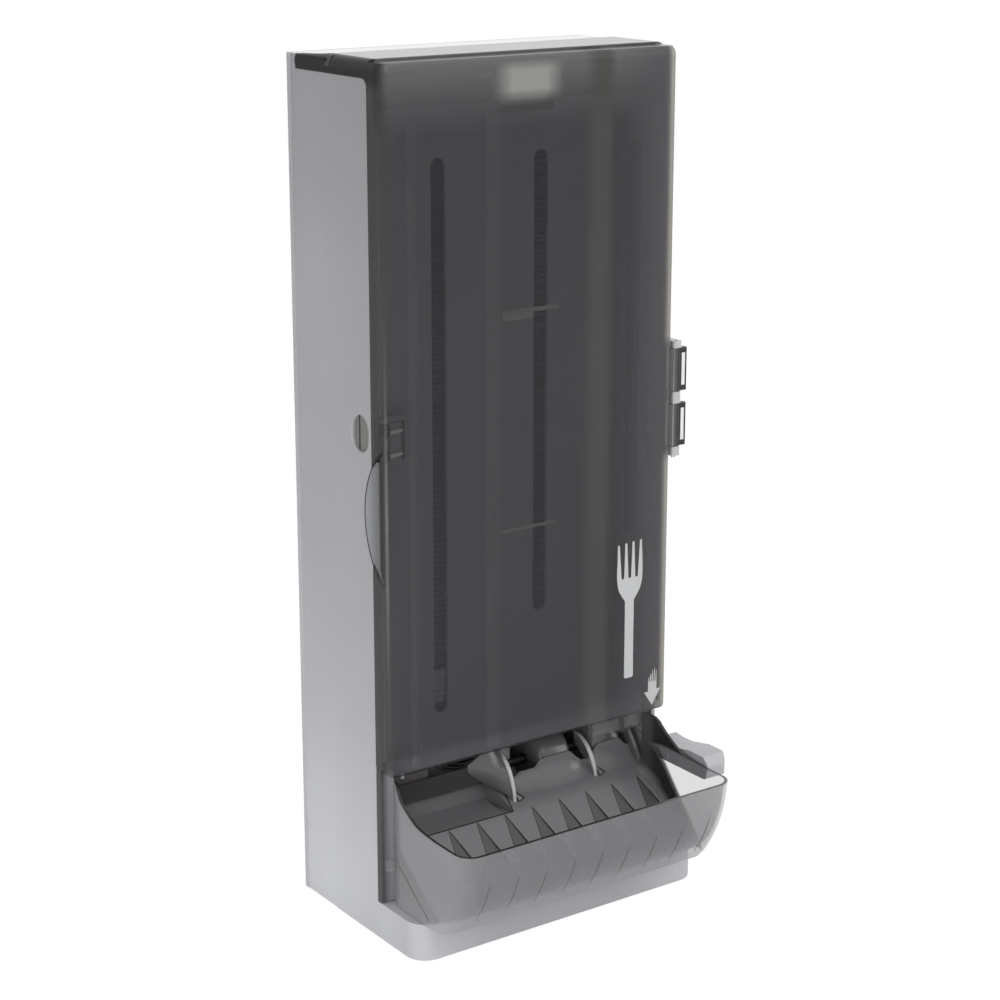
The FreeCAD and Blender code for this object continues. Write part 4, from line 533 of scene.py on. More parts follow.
def oblong(u0, u1, v0, v1):
    """The four corners of a flat rectangle."""
    return [(u0, v0), (u1, v0), (u1, v1), (u0, v1)]


def shares(count):
    """Evenly spread numbers from nothing to one."""
    return [n / (count - 1) for n in range(count)]


def mark(which, faces, number):
    """Give the faces that are new since the last mark the piece's look of that number."""
    which += [number] * (len(faces) - len(which))


def arc(cx, cz, radius, start, end, count=8):
    """Points along a circle's arc, between two angles in degrees."""
    out = []
    for n in range(count + 1):
        turn = math.radians(start + (end - start) * n / count)
        out.append((cx + radius * math.cos(turn), cz + radius * math.sin(turn)))
    return out


def thickened(obj, thick, offset=0):
    """Give an open sheet a thickness in millimetres, evenly to both sides or to one."""
    mod = obj.modifiers.new("sheet", "SOLIDIFY")
    mod.thickness = thick * MM
    mod.offset = offset


def bevelled(obj, width, segments=2):
    """Round the edges of a piece by a width in millimetres."""
    mod = obj.modifiers.new("soft_edges", "BEVEL")
    mod.width = width * MM
    mod.segments = segments
    mod.limit_method = "ANGLE"
    mod.angle_limit = math.radians(40)


# Bin: its front is given as (height, depth), its rim as (depth, height) and its side as (depth, half width)
FOOT = 28.25
BIN_REAR = 104.3
HALF_WIDTH = 121.0
WALL = 2.6
OUTER_CORNER, INNER_CORNER = 14.0, 11.5
FRONT = rounded([
    (28.2, 177.6), (34, 182.6), (40, 186.8), (55, 195.4), (75, 202.8), (94, 206.0), (110, 206.9),
])
RIM = rounded([
    (BIN_REAR, 119.0), (109, 120), (115, 119), (119, 116), (124.5, 110), (135, 103.5), (144, 99.4),
    (156.5, 97.2), (175, 96.1), (207, 96.0),
])
FACE_IN = rounded([
    (26, 165.0), (31.2, 166.4), (33, 171.5), (37, 178.6), (44, 185.6), (55, 192.6), (75, 200.2),
    (94, 203.4), (120, 204.4),
])
SIDE = rounded([
    (BIN_REAR, 116.0), (108.5, 116.1), (112, 116.9), (118, 119.6), (123, 120.8), (127, HALF_WIDTH),
    (207, HALF_WIDTH),
])


def slope(depth):
    """Height of the bin's sloping floor."""
    return 79.0 - (depth - 101.0) * 0.735


SIDE_SPOTS, CORNER_SPOTS, FACE_SPOTS = 30, 9, 12


def plan(z, table, corner, inset, extra=0.0):
    """Half of the bin's top view at a height, from the left rear round to the middle of the front."""
    front = lookup(table, z)
    spots = []
    reach = front - corner
    for k in range(SIDE_SPOTS):
        depth = BIN_REAR + (reach - BIN_REAR) * k / SIDE_SPOTS
        spots.append((-(lookup(SIDE, depth) - inset - extra), depth))
    middle = -(HALF_WIDTH - inset - extra - corner)
    for k in range(CORNER_SPOTS + 1):
        turn = math.pi / 2 * k / CORNER_SPOTS
        spots.append((middle - corner * math.cos(turn), reach + corner * math.sin(turn)))
    for k in range(1, FACE_SPOTS + 1):
        spots.append((middle - middle * k / FACE_SPOTS, front))
    return spots


def whole(spots):
    """A top view from its left half, which ends in the middle of the front."""
    return spots + [(-x, depth) for x, depth in reversed(spots[:-1])]


def outer_spot(column, z):
    """One spot of the bin's outer top view at a height, as x and depth."""
    return whole(plan(z, FRONT, OUTER_CORNER, 0.0))[column]


def inner_spot(column, z, extra):
    """The same for the inner wall, moved in by an extra width."""
    return whole(plan(z, FACE_IN, INNER_CORNER, WALL, extra))[column]


COLUMNS = 2 * (SIDE_SPOTS + CORNER_SPOTS + FACE_SPOTS) + 1
top_depth = [depth for x, depth in whole(plan(97.0, FRONT, OUTER_CORNER, 0.0))]
rim_at = [lookup(RIM, depth) for depth in top_depth]

verts, faces, which = [], [], []
ROWS_OUT = 22
for share in shares(ROWS_OUT):
    for c in range(COLUMNS):
        z = FOOT + (rim_at[c] - FOOT) * share
        x, depth = outer_spot(c, z)
        if share == 1:
            x *= 0.9975
        verts.append((x, -depth, z))
skin(faces, 0, ROWS_OUT, COLUMNS)

# inner wall, with a rounded foot where it meets the floor
FILLET = 7.0
inner_first = len(verts)
foot_line = []
for c in range(COLUMNS):
    low, high = 27.0, 90.0
    for turn in range(30):
        mid = (low + high) / 2
        x, depth = inner_spot(c, mid, FILLET)
        if mid < slope(depth):
            low = mid
        else:
            high = mid
    foot_line.append(low)
ROWS_IN = 26
for share in shares(ROWS_IN):
    for c in range(COLUMNS):
        z = foot_line[c] + (rim_at[c] - foot_line[c]) * share ** 1.5
        rise = z - foot_line[c]
        extra = 0.0
        if rise < FILLET:
            extra = FILLET - math.sqrt(max(0.0, FILLET ** 2 - (FILLET - rise) ** 2))
        x, depth = inner_spot(c, z, extra)
        verts.append((x, -depth, z))
skin(faces, inner_first, ROWS_IN, COLUMNS)
mark(which, faces, 0)
outer_top = (ROWS_OUT - 1) * COLUMNS
inner_top = inner_first + (ROWS_IN - 1) * COLUMNS
for c in range(COLUMNS - 1):
    faces.append((outer_top + c, outer_top + c + 1, inner_top + c + 1, inner_top + c))
# rear ends of the two walls
for c in (0, COLUMNS - 1):
    loop = [r * COLUMNS + c for r in range(ROWS_OUT)]
    loop += [inner_first + r * COLUMNS + c for r in reversed(range(ROWS_IN))]
    faces.append(tuple(loop))
mark(which, faces, 1)
make_piece("bin_walls", verts, faces, ("bin", "dark_edge"), "housing", which=which,
           replaces=("bin",))

# floor with tapering grooves
GROOVES = [-95.6 + 24.9 * k for k in range(9)]
FLOOR_REAR, GROOVE_FRONT, FLOOR_FRONT = 111.35, 164.0, 166.0
FLOOR_ROWS = [FLOOR_REAR, 134.0, 146.0, GROOVE_FRONT]
WEDGE = [(110.0, 0.0), (134.0, 6.7), (146.0, 9.4), (GROOVE_FRONT, 10.6)]
DEEP = 1.3
floor_edge = [inner_spot(c, foot_line[c], FILLET) for c in range(COLUMNS)]
left_edge = [(x, d) for x, d in floor_edge if x < -100 and FLOOR_REAR < d < FLOOR_FRONT - 0.2]
edge_x = floor_edge[SIDE_SPOTS + CORNER_SPOTS][0]
verts, faces, which = [], [], []


def half_wide(depth):
    """Half the width of a groove at a depth."""
    return lookup(WEDGE, depth)


def patch(look, *spots):
    """A face of the floor through spots of x, depth and, in a groove, the drop below the slope."""
    first = len(verts)
    for x, depth, *drop in spots:
        verts.append((x, -depth, slope(depth) - sum(drop)))
    faces.append(tuple(range(first, len(verts))))
    which.append(look)


for a, b in zip(GROOVES, GROOVES[1:]):
    for near, far in zip(FLOOR_ROWS, FLOOR_ROWS[1:]):
        patch(0, (a + half_wide(near), near), (b - half_wide(near), near), (b - half_wide(far), far),
              (a + half_wide(far), far))
for side in (-1, 1):
    border = [(-x * side, d) for x, d in left_edge]
    spot = GROOVES[0] if side < 0 else GROOVES[-1]
    wedge = [(spot + half_wide(depth) * side, depth) for depth in reversed(FLOOR_ROWS)]
    patch(0, (border[0][0], FLOOR_REAR), *border, *wedge)
    patch(0, wedge[0], border[-1], (-edge_x * side, FLOOR_FRONT), (-edge_x * side, GROOVE_FRONT))
for spot in GROOVES:
    for near, far in zip(FLOOR_ROWS, FLOOR_ROWS[1:]):
        wide, wider = half_wide(near), half_wide(far)
        deep = 0.1 if near == FLOOR_REAR else DEEP
        patch(1, (spot - wide, near, deep), (spot + wide, near, deep), (spot + wider, far, DEEP),
              (spot - wider, far, DEEP))
        for side in (-1, 1):
            x0, x1 = spot + wide * side, spot + wider * side
            patch(2, (x0, near), (x1, far), (x1, far, DEEP), (x0, near, deep))
    x0, x1 = spot - half_wide(GROOVE_FRONT), spot + half_wide(GROOVE_FRONT)
    patch(2, (x0, GROOVE_FRONT), (x1, GROOVE_FRONT), (x1, GROOVE_FRONT, DEEP), (x0, GROOVE_FRONT, DEEP))
patch(0, (edge_x, GROOVE_FRONT), (-edge_x, GROOVE_FRONT), (-edge_x, FLOOR_FRONT), (edge_x, FLOOR_FRONT))
make_piece("bin_floor", verts, faces, ("floor", "groove", "dark_edge"), "housing", which=which,
           replaces=("bin",), smooth=False)

# thin dark outlines of the grooves
verts, faces = [], []
for spot in GROOVES:
    for side in (-1, 1):
        rings = []
        for k in range(12):
            depth = 111.8 + (163.8 - 111.8) * k / 11
            x = spot + half_wide(depth) * side
            thick = 0.16 + 0.16 * k / 11
            low, high = slope(depth) - 0.3, slope(depth) + 0.12
            rings.append([
                (x - thick, -depth, low), (x - thick, -depth, high), (x + thick, -depth, high),
                (x + thick, -depth, low),
            ])
        tube(verts, faces, rings)
make_piece("groove_lines", verts, faces, "dark_edge", "housing", replaces=("bin",), smooth=False)

# creases on the front face and along the sides
verts, faces = [], []
for k in range(9):
    x0 = 100.9 - 24.7 * k
    rings = []
    for share in shares(15):
        z = 70.0 - 32.0 * share
        y = -lookup(FRONT, z)
        thick = math.sin(math.pi * (0.06 + 0.88 * share)) ** 0.7
        wide = 0.42 * thick
        proud = y - 0.14 * thick
        x = x0 - 0.8 * share
        rings.append([
            (x - wide, y + 0.5, z), (x - wide * 0.4, proud, z), (x + wide * 0.4, proud, z),
            (x + wide, y + 0.5, z),
        ])
    tube(verts, faces, rings)
make_piece("bin_creases", verts, faces, "crease", "housing", replaces=("bin",))
verts, faces = [], []
for side in (-1, 1):
    rings = []
    for share in shares(24):
        depth = 107.5 + (160.5 - 107.5) * share
        x = (lookup(SIDE, depth) + 0.02) * side
        z = slope(depth) - 1.4
        proud = x + 0.12 * side * (0.25 + 0.75 * math.sin(math.pi * share) ** 0.5)
        rings.append([
            (x - 0.5 * side, -depth, z + 0.6), (proud, -depth, z + 0.4), (proud, -depth, z - 0.4),
            (x - 0.5 * side, -depth, z - 0.6),
        ])
    tube(verts, faces, rings)
make_piece("bin_side_creases", verts, faces, "crease", "housing", replaces=("bin",))


# Stacked forks
THICK = 0.9
PITCH = 4.1
PER_PACK = 40
STACK_FOOT, FORK_TOP = 116.6, 588.0


def strip(verts, faces, rows):
    """A closed tapering strip through rows of (x, y, z, half width), with turned-down edges."""
    edge, turned = 2.2, 0.4
    section = [
        (-1, edge), (-1, turned), (-0.75, 0), (0.75, 0), (1, turned), (1, edge), (0.86, edge), (0.70, THICK),
        (-0.70, THICK), (-0.86, edge),
    ]
    rings = [[(x, y + half * share, z - drop) for share, drop in section] for x, y, z, half in rows]
    tube(verts, faces, rings, capped=True)


def fork(verts, faces, z):
    """One fork lying along x: a handle that widens into the head, and four tines."""
    y = -75.0
    handle = [
        (74.6, y, z, 5.6), (72.5, y, z, 6.6), (55, y, z, 6.3), (20, y, z + 0.3, 5.0),
        (-20, y, z + 0.7, 3.6), (-34, y, z + 0.8, 4.2), (-43, y, z + 0.6, 7.6), (-50, y, z + 0.2, 11.0),
        (-56, y, z - 0.2, 12.6), (-61, y, z - 0.4, 12.9),
    ]
    strip(verts, faces, handle)
    for step in (-1.5, -0.5, 0.5, 1.5):
        middle = y + step * 6.8
        strip(verts, faces, [
            (-60.5, middle, z - 0.4, 2.5), (-75, middle, z - 0.5, 2.0), (-88, middle, z, 1.7),
            (-94.8, middle, z + 0.5, 0.9),
        ])


for number, pack in enumerate(("fork_pack_lower", "fork_pack_middle", "fork_pack_upper")):
    verts, faces = [], []
    for k in range(PER_PACK):
        level = STACK_FOOT + PITCH * (k + PER_PACK * number) - THICK
        if level < FORK_TOP:
            fork(verts, faces, level)
    make_piece(
        "stacked_forks_%d" % (number + 1), verts, faces, "fork", "housing",
        smooth=False, replaces=(pack,),
    )

# Curved heads of the lowest forks, which hang in the throat
verts, faces = [], []
HEADS = ((-74.0, -29.0, 108.2, 94.5), (-69.0, -31.0, 110.6, 95.6), (-62.0, -30.0, 112.8, 96.6))
for left, right, low, depth in HEADS:
    under, over = [], []
    for share in shares(17):
        x = left + (right - left) * share
        z = 117.6 - (117.6 - low) * math.sin(math.pi * share) ** 0.8
        under.append((x, z))
        over.append((x, z + 0.8))
    extruded(verts, faces, under + over[::-1], "y", -depth, 12.0 - depth)
make_piece("fork_heads", verts, faces, "fork", "housing", replaces=("fork_pack_lower",))

# Pale block above the stack: painted light, a bright patch lit from above
verts, faces = [], []
block = [(-16, 589.5), (32, 589.5), (32, 603), (27, 609.5), (-16, 609.5)]
extruded(verts, faces, block, "y", -88.0, -62.0)
bevelled(make_piece("lit_patch_block", verts, faces, "weight", "housing",
                    replaces=("fork_pack_upper",), smooth=False), 1.2, 3)

# Rounded ridges on the slotted panel, lighter than the panel: painted light
verts, faces = [], []
for left, right, high in ((-28.0, -14.0, 1.2), (-93.0, -84.0, 1.2)):
    profile = []
    for share in shares(17):
        x = left + (right - left) * share
        profile.append((x, -97.4 - high * math.sin(math.pi * share) ** 1.5))
    profile += [(right, -97.2), (left, -97.2)]
    extruded(verts, faces, profile, "z", 121.0, 586.0)
make_piece("panel_ridges", verts, faces, "ridge", "housing")

# Painted highlights where the packs meet, and the pale foot of the left slot
JOINT_HIGHLIGHTS = ((-14.0, 13.0, 443.0, 3.6), (-6.0, 36.0, 445.5, 1.6), (-14.0, 34.0, 285.0, 1.2))
verts, faces = [], []
for left, right, middle, half in JOINT_HIGHLIGHTS:
    shape = arc(right - half, middle, half, -90, 90) + arc(left + half, middle, half, 90, 270)
    extruded(verts, faces, shape, "y", -98.3, -98.0)
make_piece("pack_joint_highlights", verts, faces, "joint", "housing")
verts, faces = [], []
for k in range(6):
    low = 165.5 + PITCH * k
    step = 1.5 if k == 0 else 0
    left, right = -72.4 + step, -61.6 - step
    extruded(verts, faces, oblong(left, right, low, low + 3.4), "y", -94.6, -93.4)
make_piece("slot_foot", verts, faces, "inner", "housing", smooth=False)

# Smoked flange that closes the gap between the bin and the front lip of the housing
verts, faces = [], []
section = [
    (-116.0, -107.9), (-125.6, -107.9), (-125.6, -103.4), (-126.7, -103.4), (-126.7, -108.2),
    (-126.3, -108.8), (-125.7, -109.0), (-116.0, -109.0),
]
extruded(verts, faces, section, "z", 28.6, 126.4)
extruded(verts, faces, oblong(-124.2, -116.0, -108.1, -109.0), "z", 126.4, 136.0)
slanted = [(-126.7, 126.4), (-125.7, 126.4), (-125.7, 129.4), (-126.7, 131.2)]
extruded(verts, faces, slanted, "y", -109.0, -103.4)
slanted = [(-125.7, 126.4), (-124.2, 126.4), (-124.2, 128.2), (-125.7, 129.4)]
extruded(verts, faces, slanted, "y", -109.0, -108.1)
make_piece("bin_flange", verts, faces, "flange", "housing", replaces=("bin",), smooth=False)

# Smoky screen in the throat, in front of the shaft
verts, faces = [], []
extruded(verts, faces, oblong(-118.0, -14.0, 90.0, 106.0), "y", -90.4, -89.6)
make_piece("throat_screen", verts, faces, "screen", "housing", smooth=False)

# Dark outlines of the pocket: painted shade along its edges
verts, faces = [], []
POCKET = [(-95.6, 110.9), (-12.6, 110.9), (-11.4, 99.0), (-15.0, 93.5), (-27.6, 85.0), (-95.6, 84.6)]
LINE = 0.4
for ends in zip(POCKET, POCKET[1:] + POCKET[:1]):
    rings = []
    for x, depth in ends:
        z = slope(depth) + 0.1
        rings.append([
            (x - LINE, -depth - LINE, z), (x + LINE, -depth - LINE, z), (x + LINE, -depth + LINE, z + 0.25),
            (x - LINE, -depth + LINE, z + 0.25),
        ])
    tube(verts, faces, rings)
make_piece("pocket_lines", verts, faces, "tray_dark", "housing", smooth=False)


# Guide fins with a painted highlight on their front edges
def fin(name, x, top, back, foot, node):
    """A clear fin standing on the tray, from its top at one depth down to its foot in front."""
    low = slope(foot)
    bends = [(0.0, 1.0), (0.20, 0.985), (0.40, 0.90), (0.55, 0.80), (0.70, 0.65), (0.82, 0.48),
             (0.92, 0.29), (0.97, 0.17), (1.0, 0.0)]
    front = rounded([(back + (foot - back) * a, low + (top - low) * b) for a, b in bends], 4)
    outer = [(-d, z) for d, z in front] + [(-92.7, slope(92.7) + 0.2), (-back, slope(back) + 0.4)]
    verts, faces, which = [], [], []
    extruded(verts, faces, outer, "x", x - 0.9, x + 0.9)
    mark(which, faces, 0)
    # rounded bead along the front edge, pale as a painted highlight
    rings = []
    for share, (d, z) in zip(shares(len(front)), front):
        wide = 1.0 + 0.55 * math.sin(math.pi * share) ** 0.7
        rings.append([
            (x - wide, -d + 1.2, z - 0.2), (x - wide, -d, z), (x - wide * 0.5, -d - 0.35, z + 0.1),
            (x + wide * 0.5, -d - 0.35, z + 0.1), (x + wide, -d, z), (x + wide, -d + 1.2, z - 0.2),
        ])
    tube(verts, faces, rings)
    mark(which, faces, 1)
    make_piece(name, verts, faces, ("clear", "edge"), "housing", which=which, replaces=(node,))


fin("fin_left", -7.0, 108.0, 84.0, 105.4, "guide_fin_left")
fin("fin_right", 70.0, 105.0, 76.5, 103.4, "guide_fin_right")

# Smooth cheek that sweeps from the left fin back to the throat's edge
verts, faces = [], []
fin_side = rounded([
    (-8.2, 85.0, 112.0), (-8.4, 92.0, 104.0), (-8.6, 98.0, 97.0), (-8.8, 102.0, 87.0), (-9.0, 103.6, 79.5),
])
rear_side = rounded([
    (-28.0, 88.5, 124.0), (-34.0, 89.5, 113.0), (-40.0, 90.5, 104.0), (-29.0, 91.5, 93.0),
    (-16.0, 96.5, 83.5),
])
for a, b in zip(fin_side, rear_side):
    for share in shares(9):
        swell = 1.2 * math.sin(math.pi * share)
        x, depth, z = (a[i] + (b[i] - a[i]) * share for i in range(3))
        verts.append((x, -depth - swell, z + swell * 0.4))
skin(faces, 0, len(fin_side), 9)
thickened(make_piece("fin_cheek", verts, faces, "drum", "housing"), 0.6)

# Small triangular sockets at the feet of the fins
verts, faces, which = [], [], []
for x, foot in ((-4.6, 104.0), (72.8, 102.0)):
    corners = [(x, foot - 6.5), (x + 0.6, foot + 2.2), (x + 6.4, foot + 0.8)]
    for a, b in zip(corners, corners[1:] + corners[:1]):
        tube(verts, faces, [
            [(px - 0.45, -pd, slope(pd) - 0.5), (px - 0.35, -pd, slope(pd) + 1.0),
             (px + 0.35, -pd, slope(pd) + 1.0), (px + 0.45, -pd, slope(pd) - 0.5)]
            for px, pd in (a, b)
        ])
    mark(which, faces, 0)
    lid = [[(px, -pd, slope(pd) + rise) for px, pd in corners] for rise in (0.25, -0.4)]
    tube(verts, faces, lid, capped=True)
    mark(which, faces, 1)
make_piece("fin_sockets", verts, faces, ("tray_dark", "haze"), "housing", which=which,
           smooth=False)

# Smooth swell that blends the tray into the drums
SWELL = [
    (-6, 0.15), (2, 0.35), (6, 0.55), (20, 0.55), (25, 0.95), (30, 1.0), (53, 1.0), (58, 0.6), (64, 0.25),
    (70, 0.2), (74, 0.5), (79, 0.95), (100, 1.0), (106, 0.5), (112, 0.35),
]
LANES = 60
verts, faces = [], []
for n in range(LANES):
    x = -5.5 + (111.5 + 5.5) * n / (LANES - 1)
    rise = lookup(SWELL, x)
    for k in range(12):
        turn = math.pi / 2 * (11 - k) / 11
        depth = 92.6 + 12.0 * (1 - math.sin(turn))
        up = 13.0 * rise * (1 - math.cos(turn)) ** 1.2
        verts.append((x, -depth, slope(depth) + 0.12 + up))
    verts.append((x, -FLOOR_REAR + 0.1, slope(FLOOR_REAR - 0.1) + 0.12))
skin(faces, 0, LANES, 13)
thickened(make_piece("tray_swell", verts, faces, "tray", "housing"), 0.5, -1)

# Drums: smooth barrels with rounded shoulders and the flat ledge that pushes the forks
SHAFT_DEPTH, SHAFT_HEIGHT = 70.0, 91.0


def barrel(name, start, end, radius, shoulder, node):
    """A drum round the shaft from start to end, with its inner wall along the shaft."""
    turns = [math.pi / 2 * n / 6 for n in range(1, 7)]
    profile = [(start, 4.3), (start, radius - shoulder)]
    profile += [(start + shoulder * (1 - math.cos(t)), radius - shoulder * (1 - math.sin(t))) for t in turns]
    profile += [(end - shoulder * (1 - math.sin(t)), radius - shoulder * (1 - math.cos(t))) for t in turns]
    profile.append((end, 4.3))
    around = 64
    verts, faces, rings = [], [], []
    for x, reach in profile:
        ring = []
        for k in range(around):
            turn = 2 * math.pi * k / around
            y = -SHAFT_DEPTH + reach * math.cos(turn)
            z = reach * math.sin(turn)
            if 0.0 < y + SHAFT_DEPTH < 9.0:
                z = min(z, radius - 3.0)
            ring.append((x, y, SHAFT_HEIGHT + z))
        rings.append(ring)
    tube(verts, faces, rings)
    last = len(verts) - around
    for k in range(around):
        m = (k + 1) % around
        faces.append((k, last + k, last + m, m))
    make_piece(name, verts, faces, "drum", "lever", replaces=(node,))


barrel("barrel_left", 26.0, 57.0, 21.8, 7.0, "drum_left")
barrel("barrel_right", 75.0, 105.0, 21.8, 7.0, "drum_right")

# Clear bracket over the left fin, and small parts under the cover's edge
verts, faces = [], []
extruded(verts, faces, oblong(-10.0, -3.0, -93.0, -87.5), "z", 105.0, 116.5)
bevelled(make_piece("fin_bracket", verts, faces, "clear", "housing", smooth=False), 0.6)
verts, faces = [], []
for x0, x1 in ((70.2, 71.4), (98.4, 99.8), (100.6, 101.8), (118.0, 119.4)):
    extruded(verts, faces, oblong(x0, x1, -97.2, -93.6), "z", 104.0, 118.5)
make_piece("throat_tabs", verts, faces, "brown", "housing", smooth=False)


# Prints on the cover: a plain fork and a plain arrow
PRINT_FRONT, PRINT_REAR = 118.62, 118.47


def print_shape(name, shapes):
    """A flat sign of one or more outlines on the front of the cover."""
    verts, faces = [], []
    for shape in shapes:
        extruded(verts, faces, shape, "y", -PRINT_FRONT, -PRINT_REAR)
    make_piece(name, verts, faces, "print", "cover", smooth=False)


tips = [(77.4, 263.6), (84.4, 264.2), (91.2, 264.6), (98.2, 265.0)]
gaps = [81.6, 88.1, 94.5]
left_side = rounded([
    (83.9, 219.0), (80.6, 223.5), (77.6, 229.0), (76.3, 236.0), (76.1, 243.0), (76.4, 250.0),
], 5)
shape = [(83.9, 160.3), (84.0, 190.0)] + left_side
for k, (x, z) in enumerate(tips):
    shape += arc(x, z - 0.9, 0.9, 180, 0, 6)
    if k < len(gaps):
        shape += arc(gaps[k], 237.6, 1.25, 180, 360, 6)
shape += [(176.2 - x, z) for x, z in reversed(left_side)]
shape += [(92.2, 190.0), (92.4, 160.3)]
shape += arc(90.6, 159.4, 1.8, 0, -90, 4) + arc(85.7, 159.4, 1.8, -90, -180, 4)
print_shape("fork_print", [shape])
arrow = [[
    (111.5, 130.6), (119.3, 143.2), (115.6, 143.0), (115.6, 150.5), (107.4, 149.5), (107.4, 142.3),
    (103.7, 142.0),
]]
BARS = ((107.5, 108.5, 153.8), (109.2, 110.5, 156.0), (111.2, 112.2, 158.8), (113.0, 113.9, 160.6),
        (114.6, 115.5, 158.2))
for x0, x1, top in BARS:
    arrow.append([(x0, 149.6), (x1, 149.8), (x1 - 0.15, top), (x0 + 0.25, top - 0.6)])
print_shape("arrow_print", arrow)


# Springs
def coil(name, depth, height, radius, wire, start, end, turns, node):
    """A coiled wire along x, round an axis at a depth and a height."""
    verts, faces, rings = [], [], []
    around, count = 8, int(turns * 24)
    for n in range(count + 1):
        turn = 2 * math.pi * turns * n / count
        x = start + (end - start) * n / count
        ring = []
        for k in range(around):
            a = 2 * math.pi * k / around
            r = radius + wire * math.cos(a)
            ring.append((x + wire * math.sin(a), r * math.cos(turn) - depth, height + r * math.sin(turn)))
        rings.append(ring)
    tube(verts, faces, rings, capped=True)
    make_piece(name, verts, faces, "steel", "housing", replaces=(node,))


coil("lever_spring_coil", SHAFT_DEPTH, SHAFT_HEIGHT, 6.1, 0.55, 106.6, 109.5, 2.3, "lever_return_spring")
coil("latch_spring_coil", 103.5, 370.0, 2.65, 0.35, -109.9, -104.4, 5.0, "latch_spring")


# Screws with a crossed recess in a low domed head
HEAD, TALL, SHANK = 3.5, 2.0, 1.75


def screw(verts, faces, centre, axis, outward, long):
    """Head outward from the seat at centre, shank running inward."""
    profile = [
        (SHANK * 0.55, -long), (SHANK, -long + 1.0), (SHANK, 0.0), (HEAD, 0.0), (HEAD, TALL * 0.45),
        (HEAD * 0.86, TALL * 0.82), (HEAD * 0.55, TALL), (HEAD * 0.42, TALL),
    ]
    around = 24
    spin = {"x": (1, 2, 0), "y": (0, 2, 1), "z": (0, 1, 2)}[axis]

    def ring(radii, out):
        spots = []
        for k, radius in enumerate(radii):
            turn = 2 * math.pi * k / around
            spot = list(centre)
            spot[spin[0]] += radius * math.cos(turn)
            spot[spin[1]] += radius * math.sin(turn)
            spot[spin[2]] += out * outward
            spots.append(tuple(spot))
        return spots

    rings = [ring([radius] * around, out) for radius, out in profile]
    # crossed recess: the inner ring follows a cross and goes down
    cross = [HEAD * (0.16 + 0.24 * abs(math.cos(4 * math.pi * k / around)) ** 3) for k in range(around)]
    rings.append(ring(cross, TALL - 0.05))
    rings.append(ring([radius * 0.9 for radius in cross], TALL * 0.35))
    tube(verts, faces, rings, capped=True)


def screw_set(name, node, places, axis, outward, long=10.0):
    """Equal screws at the given places, as one piece."""
    verts, faces = [], []
    for centre in places:
        screw(verts, faces, centre, axis, outward, long)
    make_piece(name, verts, faces, "steel", "housing", replaces=(node,), sharp=50)


screw_set("back_screws", "back_plate_screws",
          [(119.0 * s, -2.3, z) for s in (-1, 1) for z in (60, 325, 590)], "y", 1)
screw_set("chassis_screw_set", "chassis_screws",
          [(119.0 * s, -52.1, z) for s in (-1, 1) for z in (150, 325, 580)], "y", -1, long=8.0)
screw_set("bracket_screw_set", "bracket_screws",
          [(129.7, -d, z) for d in (72, 92) for z in (372 - 98 / 3, 372 + 98 / 3)], "x", 1, long=8.0)

# Finger scoop: a dish in the side wall with a fine dark line round it
SCOOP_DEPTH, SCOOP_HEIGHT, SCOOP_RADIUS = 159.0, 317.0, 66.0


def scoop_edge(z, radius=SCOOP_RADIUS):
    """Depth of the scoop's round edge at a height."""
    return SCOOP_DEPTH - math.sqrt(max(0.0, radius ** 2 - (z - SCOOP_HEIGHT) ** 2))


def scoop_heights(half, count):
    """Heights over the scoop, closer together near its ends."""
    return [SCOOP_HEIGHT + half * math.sin(math.pi / 2 * (2 * n / (count - 1) - 1)) for n in range(count)]


verts, faces = [], []
DISH_ROWS, DISH_COLUMNS = 25, 15
for z in scoop_heights(39.0, DISH_ROWS):
    start = scoop_edge(z, SCOOP_RADIUS - 0.5)
    end = max(start + 0.1, 108.6)
    for share in shares(DISH_COLUMNS):
        depth = start + (end - start) * share
        sunk = min(1.0, (depth - start) / max(0.1, 103.0 - start)) if start < 103.0 else 1.0
        x = -126.45 + 0.75 * math.sin(math.pi / 2 * sunk)
        if depth > 103.0:
            x += 1.2 * (depth - 103.0) / 5.6
        verts.append((x, -depth, z))
skin(faces, 0, DISH_ROWS, DISH_COLUMNS)
thickened(make_piece("scoop_dish", verts, faces, "scoop", "housing"), 0.3)
verts, faces, rings = [], [], []
for z in scoop_heights(35.5, 41):
    rear, front = 0.7 - scoop_edge(z), -0.7 - scoop_edge(z)
    rings.append([(-126.95, rear, z), (-126.95, front, z), (-126.2, front, z), (-126.2, rear, z)])
tube(verts, faces, rings)
make_piece("scoop_line", verts, faces, "tray_dark", "housing", smooth=False)
# Dark strip in the grip beside the cover: painted shade in the gap
verts, faces, rings = [], [], []
for z in scoop_heights(44.0, 21):
    start = max(109.2, scoop_edge(z, SCOOP_RADIUS - 1.5))
    rings.append([(-124.3, -start, z), (-123.0, -114.6, z), (-122.4, -114.6, z), (-123.7, -start, z)])
tube(verts, faces, rings)
make_piece("grip_gap_shade", verts, faces, "tray_dark", "cover", smooth=False)

